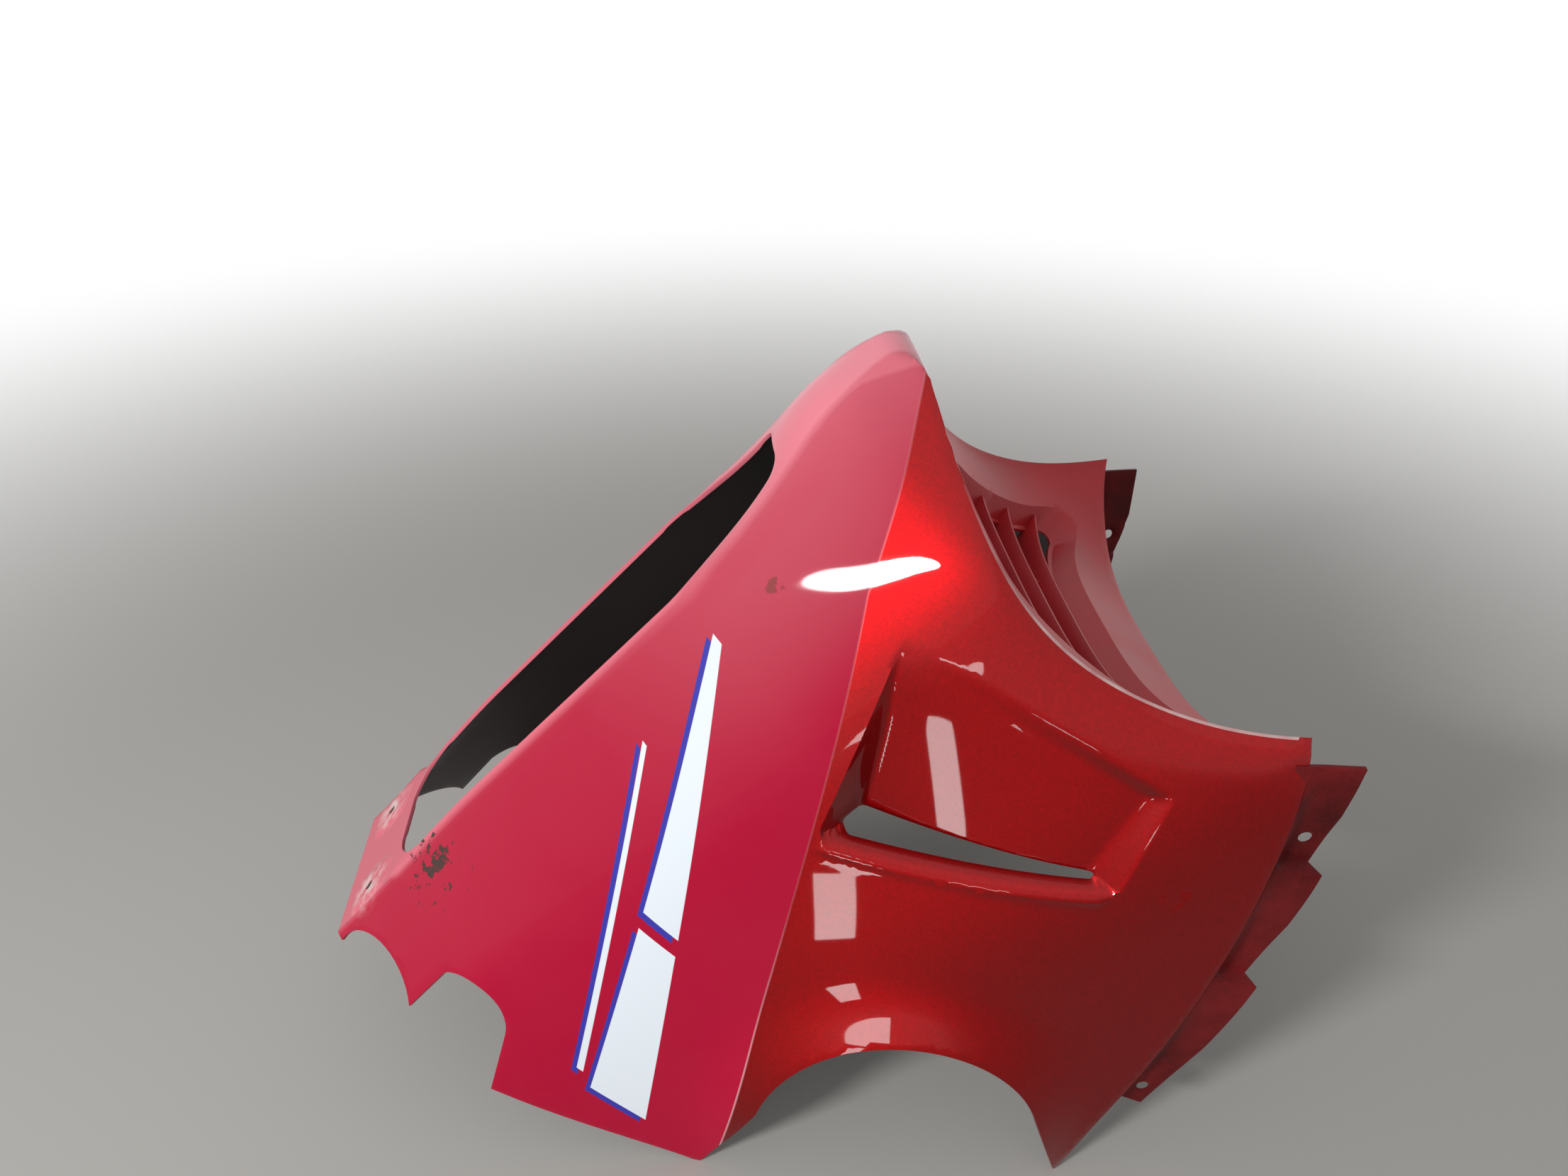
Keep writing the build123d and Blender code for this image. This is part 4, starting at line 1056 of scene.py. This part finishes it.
def painted_skin():
    # Moulded ABS in candy red: a translucent red coat over bright flake under deep clear lacquer, so
    # it glows where light strikes square and turns dark elsewhere. The keel and the rear of the
    # panels carry a thin printed vinyl film, which is flatter and pinker; where it faces up it is paler,
    # partly faded and partly painted sheen, and a painted highlight runs along the rim of the keel's slot.
    material, tree, shader, riding = new_material("candy_lacquer_and_vinyl_film")
    parts = add_node(tree, "ShaderNodeSeparateXYZ", {0: riding}).outputs
    ahead, height = parts["X"], parts["Z"]
    aside = add_node(tree, "ShaderNodeMath", {0: parts["Y"]}, operation="ABSOLUTE")
    broad = add_node(tree, "ShaderNodeTexNoise", {"Vector": riding, "Scale": 1 / SKIN_CLOUD, "Detail": 3.0})
    under, below, along = film_place(tree, ahead, height)
    edge = {"From Min": -FILM_SOFT, "From Max": FILM_SOFT}
    film = add_node(tree, "ShaderNodeMapRange", {"Value": under} | edge)
    ink = printed(tree, along, below, vinyl_with_fade_and_painted_sheen(tree, ahead, aside, broad))

    # The film's cut edge shows pale, more so towards the rear
    rearwards = {"From Min": CUT_START, "From Max": CUT_FULL, "To Min": CUT_LEAST, "To Max": CUT_MOST}
    pale = add_node(tree, "ShaderNodeMapRange", {"Value": ahead} | rearwards)
    off = add_node(tree, "ShaderNodeMath", {0: under}, operation="ABSOLUTE")
    line = {"From Min": CUT_WIDTH, "From Max": CUT_CORE, "To Max": pale}
    cut = add_node(tree, "ShaderNodeMapRange", {"Value": off} | line)

    # Wear: chips down to the black plastic, brown scuffs, haze, and paler paint on the rear plate
    chips, scuffs, haze = [blotch(tree, riding, *spots) for spots in (CHIPS, SCUFFS, HAZE)]
    rubbed = rubbed_plate(tree, riding, ahead, aside)
    stain = add_node(tree, "ShaderNodeMath", {0: scuffs, 1: SCUFF_SHARE}, operation="MULTIPLY")
    worn = add_node(tree, "ShaderNodeMath", {0: haze, 1: HAZE_SHARE}, operation="MULTIPLY")
    for mask in (chips, scuffs, rubbed):
        worn = add_node(tree, "ShaderNodeMath", {0: worn, 1: mask}, operation="MAXIMUM")

    # Layers of colour from the lacquer up
    colour = candy_red(tree, riding)
    layers = [(film, ink), (cut, linear("#e0a4ab")), (rubbed, linear("#d2b9b6"))]
    layers += [(stain, linear("#6b4a40")), (chips, linear("#4a3b37"))]
    for mask, tone in layers:
        layer = {"Factor": mask, "A": colour, "B": tone}
        colour = add_node(tree, "ShaderNodeMix", layer, data_type="RGBA")

    # The lacquer is deep and metallic, the film is plain and glossy, and worn places are dull. Each sum
    # starts from a plain value, and a mask adds its share. The relief is in millimetres: orange peel,
    # the thickness of the film, and chips.
    peel = add_node(tree, "ShaderNodeTexNoise", {"Vector": riding, "Scale": 1 / PEEL, "Detail": 1.0})
    sums = {
        "Metallic": (1.0, [(film, -1.0)]),
        "Roughness": (0.45, [(film, -0.1), (broad, 0.1), (worn, 0.35)]),
        "Coat Weight": (1.0, [(worn, -0.9), (film, -0.6)]),
        "Relief": (0.0, [(peel, 0.012), (film, 0.1), (chips, -0.15)]),
    }
    made = {}
    for name, (total, shares) in sums.items():
        for mask, share in shares:
            term = {0: mask, 1: share, 2: total}
            total = add_node(tree, "ShaderNodeMath", term, operation="MULTIPLY_ADD")
        made[name] = total
    bump = add_node(tree, "ShaderNodeBump", {"Height": made.pop("Relief"), "Distance": MM})
    plain = {"Specular IOR Level": 0.04, "Coat Roughness": 0.03, "Coat IOR": 1.3}
    set_inputs(tree, shader, {"Base Color": colour, "Normal": bump} | made | plain)
    return material


def base_coat():
    # Red base coat without lacquer on the front panel: a satin red-brown, dusty and uneven.
    material, tree, shader, riding = new_material("base_coat_on_abs")
    cloud = add_node(tree, "ShaderNodeTexNoise", {"Vector": riding, "Scale": 1 / COAT_CLOUD, "Detail": 4.0})
    grit = add_node(tree, "ShaderNodeTexNoise", {"Vector": riding, "Scale": 1 / GRIT, "Detail": 2.0})
    thick = add_node(tree, "ShaderNodeMath", {0: grit, 1: 0.3, 2: cloud}, operation="MULTIPLY_ADD")
    tones = {"A": linear("#92181d"), "B": linear("#bd2c33")}
    colour = add_node(tree, "ShaderNodeMix", {"Factor": thick} | tones, data_type="RGBA")
    rough = add_node(tree, "ShaderNodeMath", {0: cloud, 1: 0.2, 2: 0.3}, operation="MULTIPLY_ADD")
    set_inputs(tree, shader, {"Base Color": colour, "Roughness": rough, "Specular IOR Level": 0.4})
    return material


def overspray():
    # Thin dry mist of the red lacquer on bare ABS: a dull, dark red-brown, blotched, with a fine grit.
    material, tree, shader, riding = new_material("overspray_on_abs")
    cloud = add_node(tree, "ShaderNodeTexNoise", {"Vector": riding, "Scale": 1 / MIST_CLOUD, "Detail": 4.0})
    grit = add_node(tree, "ShaderNodeTexNoise", {"Vector": riding, "Scale": 1 / GRIT, "Detail": 2.0})
    thick = add_node(tree, "ShaderNodeMath", {0: grit, 1: 0.35, 2: cloud}, operation="MULTIPLY_ADD")
    thick = add_node(tree, "ShaderNodeMapRange", {"Value": thick, "From Min": 0.45, "From Max": 0.95})
    tones = {"A": linear("#450a0c"), "B": linear("#7a1c1e")}
    colour = add_node(tree, "ShaderNodeMix", {"Factor": thick} | tones, data_type="RGBA")
    rough = add_node(tree, "ShaderNodeMath", {0: cloud, 1: 0.2, 2: 0.4}, operation="MULTIPLY_ADD")
    relief = {"Height": grit, "Strength": 0.35, "Distance": GRIT_HEIGHT * MM}
    bump = add_node(tree, "ShaderNodeBump", relief)
    plain = {"Specular IOR Level": 0.12}
    set_inputs(tree, shader, {"Base Color": colour, "Roughness": rough, "Normal": bump} | plain)
    return material


def pale_rim_finish():
    # A pale line along the rim of the front, blotched from red to pale grey-pink, and full only higher up.
    material, tree, shader, riding = new_material("pale_front_rim_line")
    pale_share = add_node(tree, "ShaderNodeTexNoise", {"Vector": riding, "Scale": 1 / PALE_RIM_CLOUD, "Detail": 3.0})
    height = add_node(tree, "ShaderNodeSeparateXYZ", {0: riding}).outputs["Z"]
    upwards = {"From Min": PALE_RIM_START, "From Max": PALE_RIM_FULL}
    start = add_node(tree, "ShaderNodeMapRange", {"Value": height} | upwards)
    pale_share = add_node(tree, "ShaderNodeMath", {0: pale_share, 1: start}, operation="MULTIPLY")
    tones = {"A": linear("#8a1a1e"), "B": linear("#d6c2bf")}
    colour = add_node(tree, "ShaderNodeMix", {"Factor": pale_share} | tones, data_type="RGBA")
    set_inputs(tree, shader, {"Base Color": colour, "Roughness": 0.4})
    return material


def bare_plastic():
    # Moulded black ABS with a fine matt grain, dusty and slightly brown with age.
    material, tree, shader, riding = new_material("black_abs")
    dust = add_node(tree, "ShaderNodeTexNoise", {"Vector": riding, "Scale": 1 / DUST_CLOUD, "Detail": 5.0})
    grain = add_node(tree, "ShaderNodeTexNoise", {"Vector": riding, "Scale": 1 / GRAIN, "Detail": 1.0})
    tones = {"A": linear("#1d1718"), "B": linear("#453839")}
    colour = add_node(tree, "ShaderNodeMix", {"Factor": dust} | tones, data_type="RGBA")
    rough = add_node(tree, "ShaderNodeMath", {0: dust, 1: 0.25, 2: 0.34}, operation="MULTIPLY_ADD")
    relief = {"Height": grain, "Strength": 0.4, "Distance": GRAIN_HEIGHT * MM}
    bump = add_node(tree, "ShaderNodeBump", relief)
    set_inputs(tree, shader, {"Base Color": colour, "Roughness": rough, "Normal": bump})
    return material


def floor_paint():
    # Matt floor paint: pale, even and without gloss, lost in the white of the room farther out.
    material = bpy.data.materials.new("matt_floor_paint")
    material.use_nodes = True
    tree = material.node_tree
    place = add_node(tree, "ShaderNodeTexCoord").outputs["Object"]
    gap = add_node(tree, "ShaderNodeVectorMath", {0: place}, operation="LENGTH")
    fade = {"Value": gap, "From Min": FLOOR_FAR, "From Max": FLOOR_NEAR}
    near = add_node(tree, "ShaderNodeMapRange", fade, interpolation_type="SMOOTHSTEP")
    paint = {"Base Color": linear("#a8a6a2"), "Roughness": 0.9, "Alpha": near}
    set_inputs(tree, tree.nodes["Principled BSDF"], paint)
    return material


def softbox(name, azimuth, elevation, distance, size, power, shape="RECTANGLE", aim=LIGHT_AIM, twist=0):
    """Soft lamp that faces a point of the part, azimuth 0 being straight behind it.

    Angles are in degrees, the distance and the size in metres, and the power in watts.
    """
    turn, tilt = radians(azimuth), radians(elevation)
    out = Vector((sin(turn) * cos(tilt), cos(turn) * cos(tilt), sin(tilt)))
    lamp = bpy.data.lights.new(name, "AREA")
    lamp.shape = shape
    lamp.size, lamp.size_y = size
    lamp.energy = power
    light = bpy.data.objects.new(name, lamp)
    light.location = Vector(aim) + out * distance
    light.rotation_euler = (out.to_track_quat("Z", "Y") @ Quaternion((0, 0, 1), radians(twist))).to_euler()
    bpy.context.collection.objects.link(light)
    return light


black, mist = bare_plastic(), overspray()
finishes = [painted_skin(), black, base_coat(), black, mist, mist, pale_rim_finish(), black]
fairing = bpy.data.objects.new("fairing", fairing_mesh(finishes))
bpy.context.collection.objects.link(fairing)
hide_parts("fairing_shell")
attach(fairing, "root")

camera = bpy.data.cameras.new("photo_camera")
camera.lens = FOCAL_PIXELS / PHOTO_WIDTH * SENSOR_WIDTH
camera.sensor_width = SENSOR_WIDTH
eye = bpy.data.objects.new("photo_camera", camera)
eye.location = EYE_PLACE
eye.rotation_euler = (radians(EYE_TILT), 0, radians(EYE_TURN))
bpy.context.collection.objects.link(eye)
bpy.context.scene.camera = eye

bpy.ops.mesh.primitive_plane_add(size=FLOOR_SIZE)
floor = bpy.context.object
floor.data.materials.append(floor_paint())

# The low lamps light the part alone, so that none of their light falls on the floor
softbox("window_box", -132, 30, 2.2, (0.52, 0.16), power=36, shape="ELLIPSE", twist=18)
low_lamps = [
    softbox("front_strip", -168, -6.5, 2.0, (0.5, 0.1), power=2.5),
    softbox("low_card", -162, -31, 0.47, (0.036, 0.1), power=0.18, aim=(0.08, -0.16, 0.27)),
    softbox("high_card", -168, -27, 0.47, (0.06, 0.03), power=0.08, aim=(0.17, -0.17, 0.38)),
]
lit = bpy.data.collections.new("lit_from_below")
lit.objects.link(fairing)
for lamp in low_lamps:
    lamp.light_linking.receiver_collection = lit

sky = bpy.data.lights.new("skylight", "SUN")
sky.energy, sky.angle = SKY_LIGHT, radians(SKY_SPREAD)
skylight = bpy.data.objects.new("skylight", sky)
skylight.rotation_euler = (radians(SKY_TILT), 0, radians(SKY_TURN))
bpy.context.collection.objects.link(skylight)

# The room is white to the eye and in reflections, and lights the part less than that
world = bpy.data.worlds.new("pale_studio")
bpy.context.scene.world = world
world.use_nodes = True
studio = world.node_tree
ray = add_node(studio, "ShaderNodeLightPath").outputs
seen = 0.0
for kind in ("Is Camera Ray", "Is Glossy Ray", "Is Transmission Ray"):
    seen = add_node(studio, "ShaderNodeMath", {0: seen, 1: ray[kind]}, operation="MAXIMUM")
strength = add_node(studio, "ShaderNodeMapRange", {"Value": seen, "To Min": ROOM_LIGHT})
set_inputs(studio, studio.nodes["Background"], {"Color": linear("#ffffff"), "Strength": strength})

bpy.context.scene.view_settings.view_transform = "Standard"
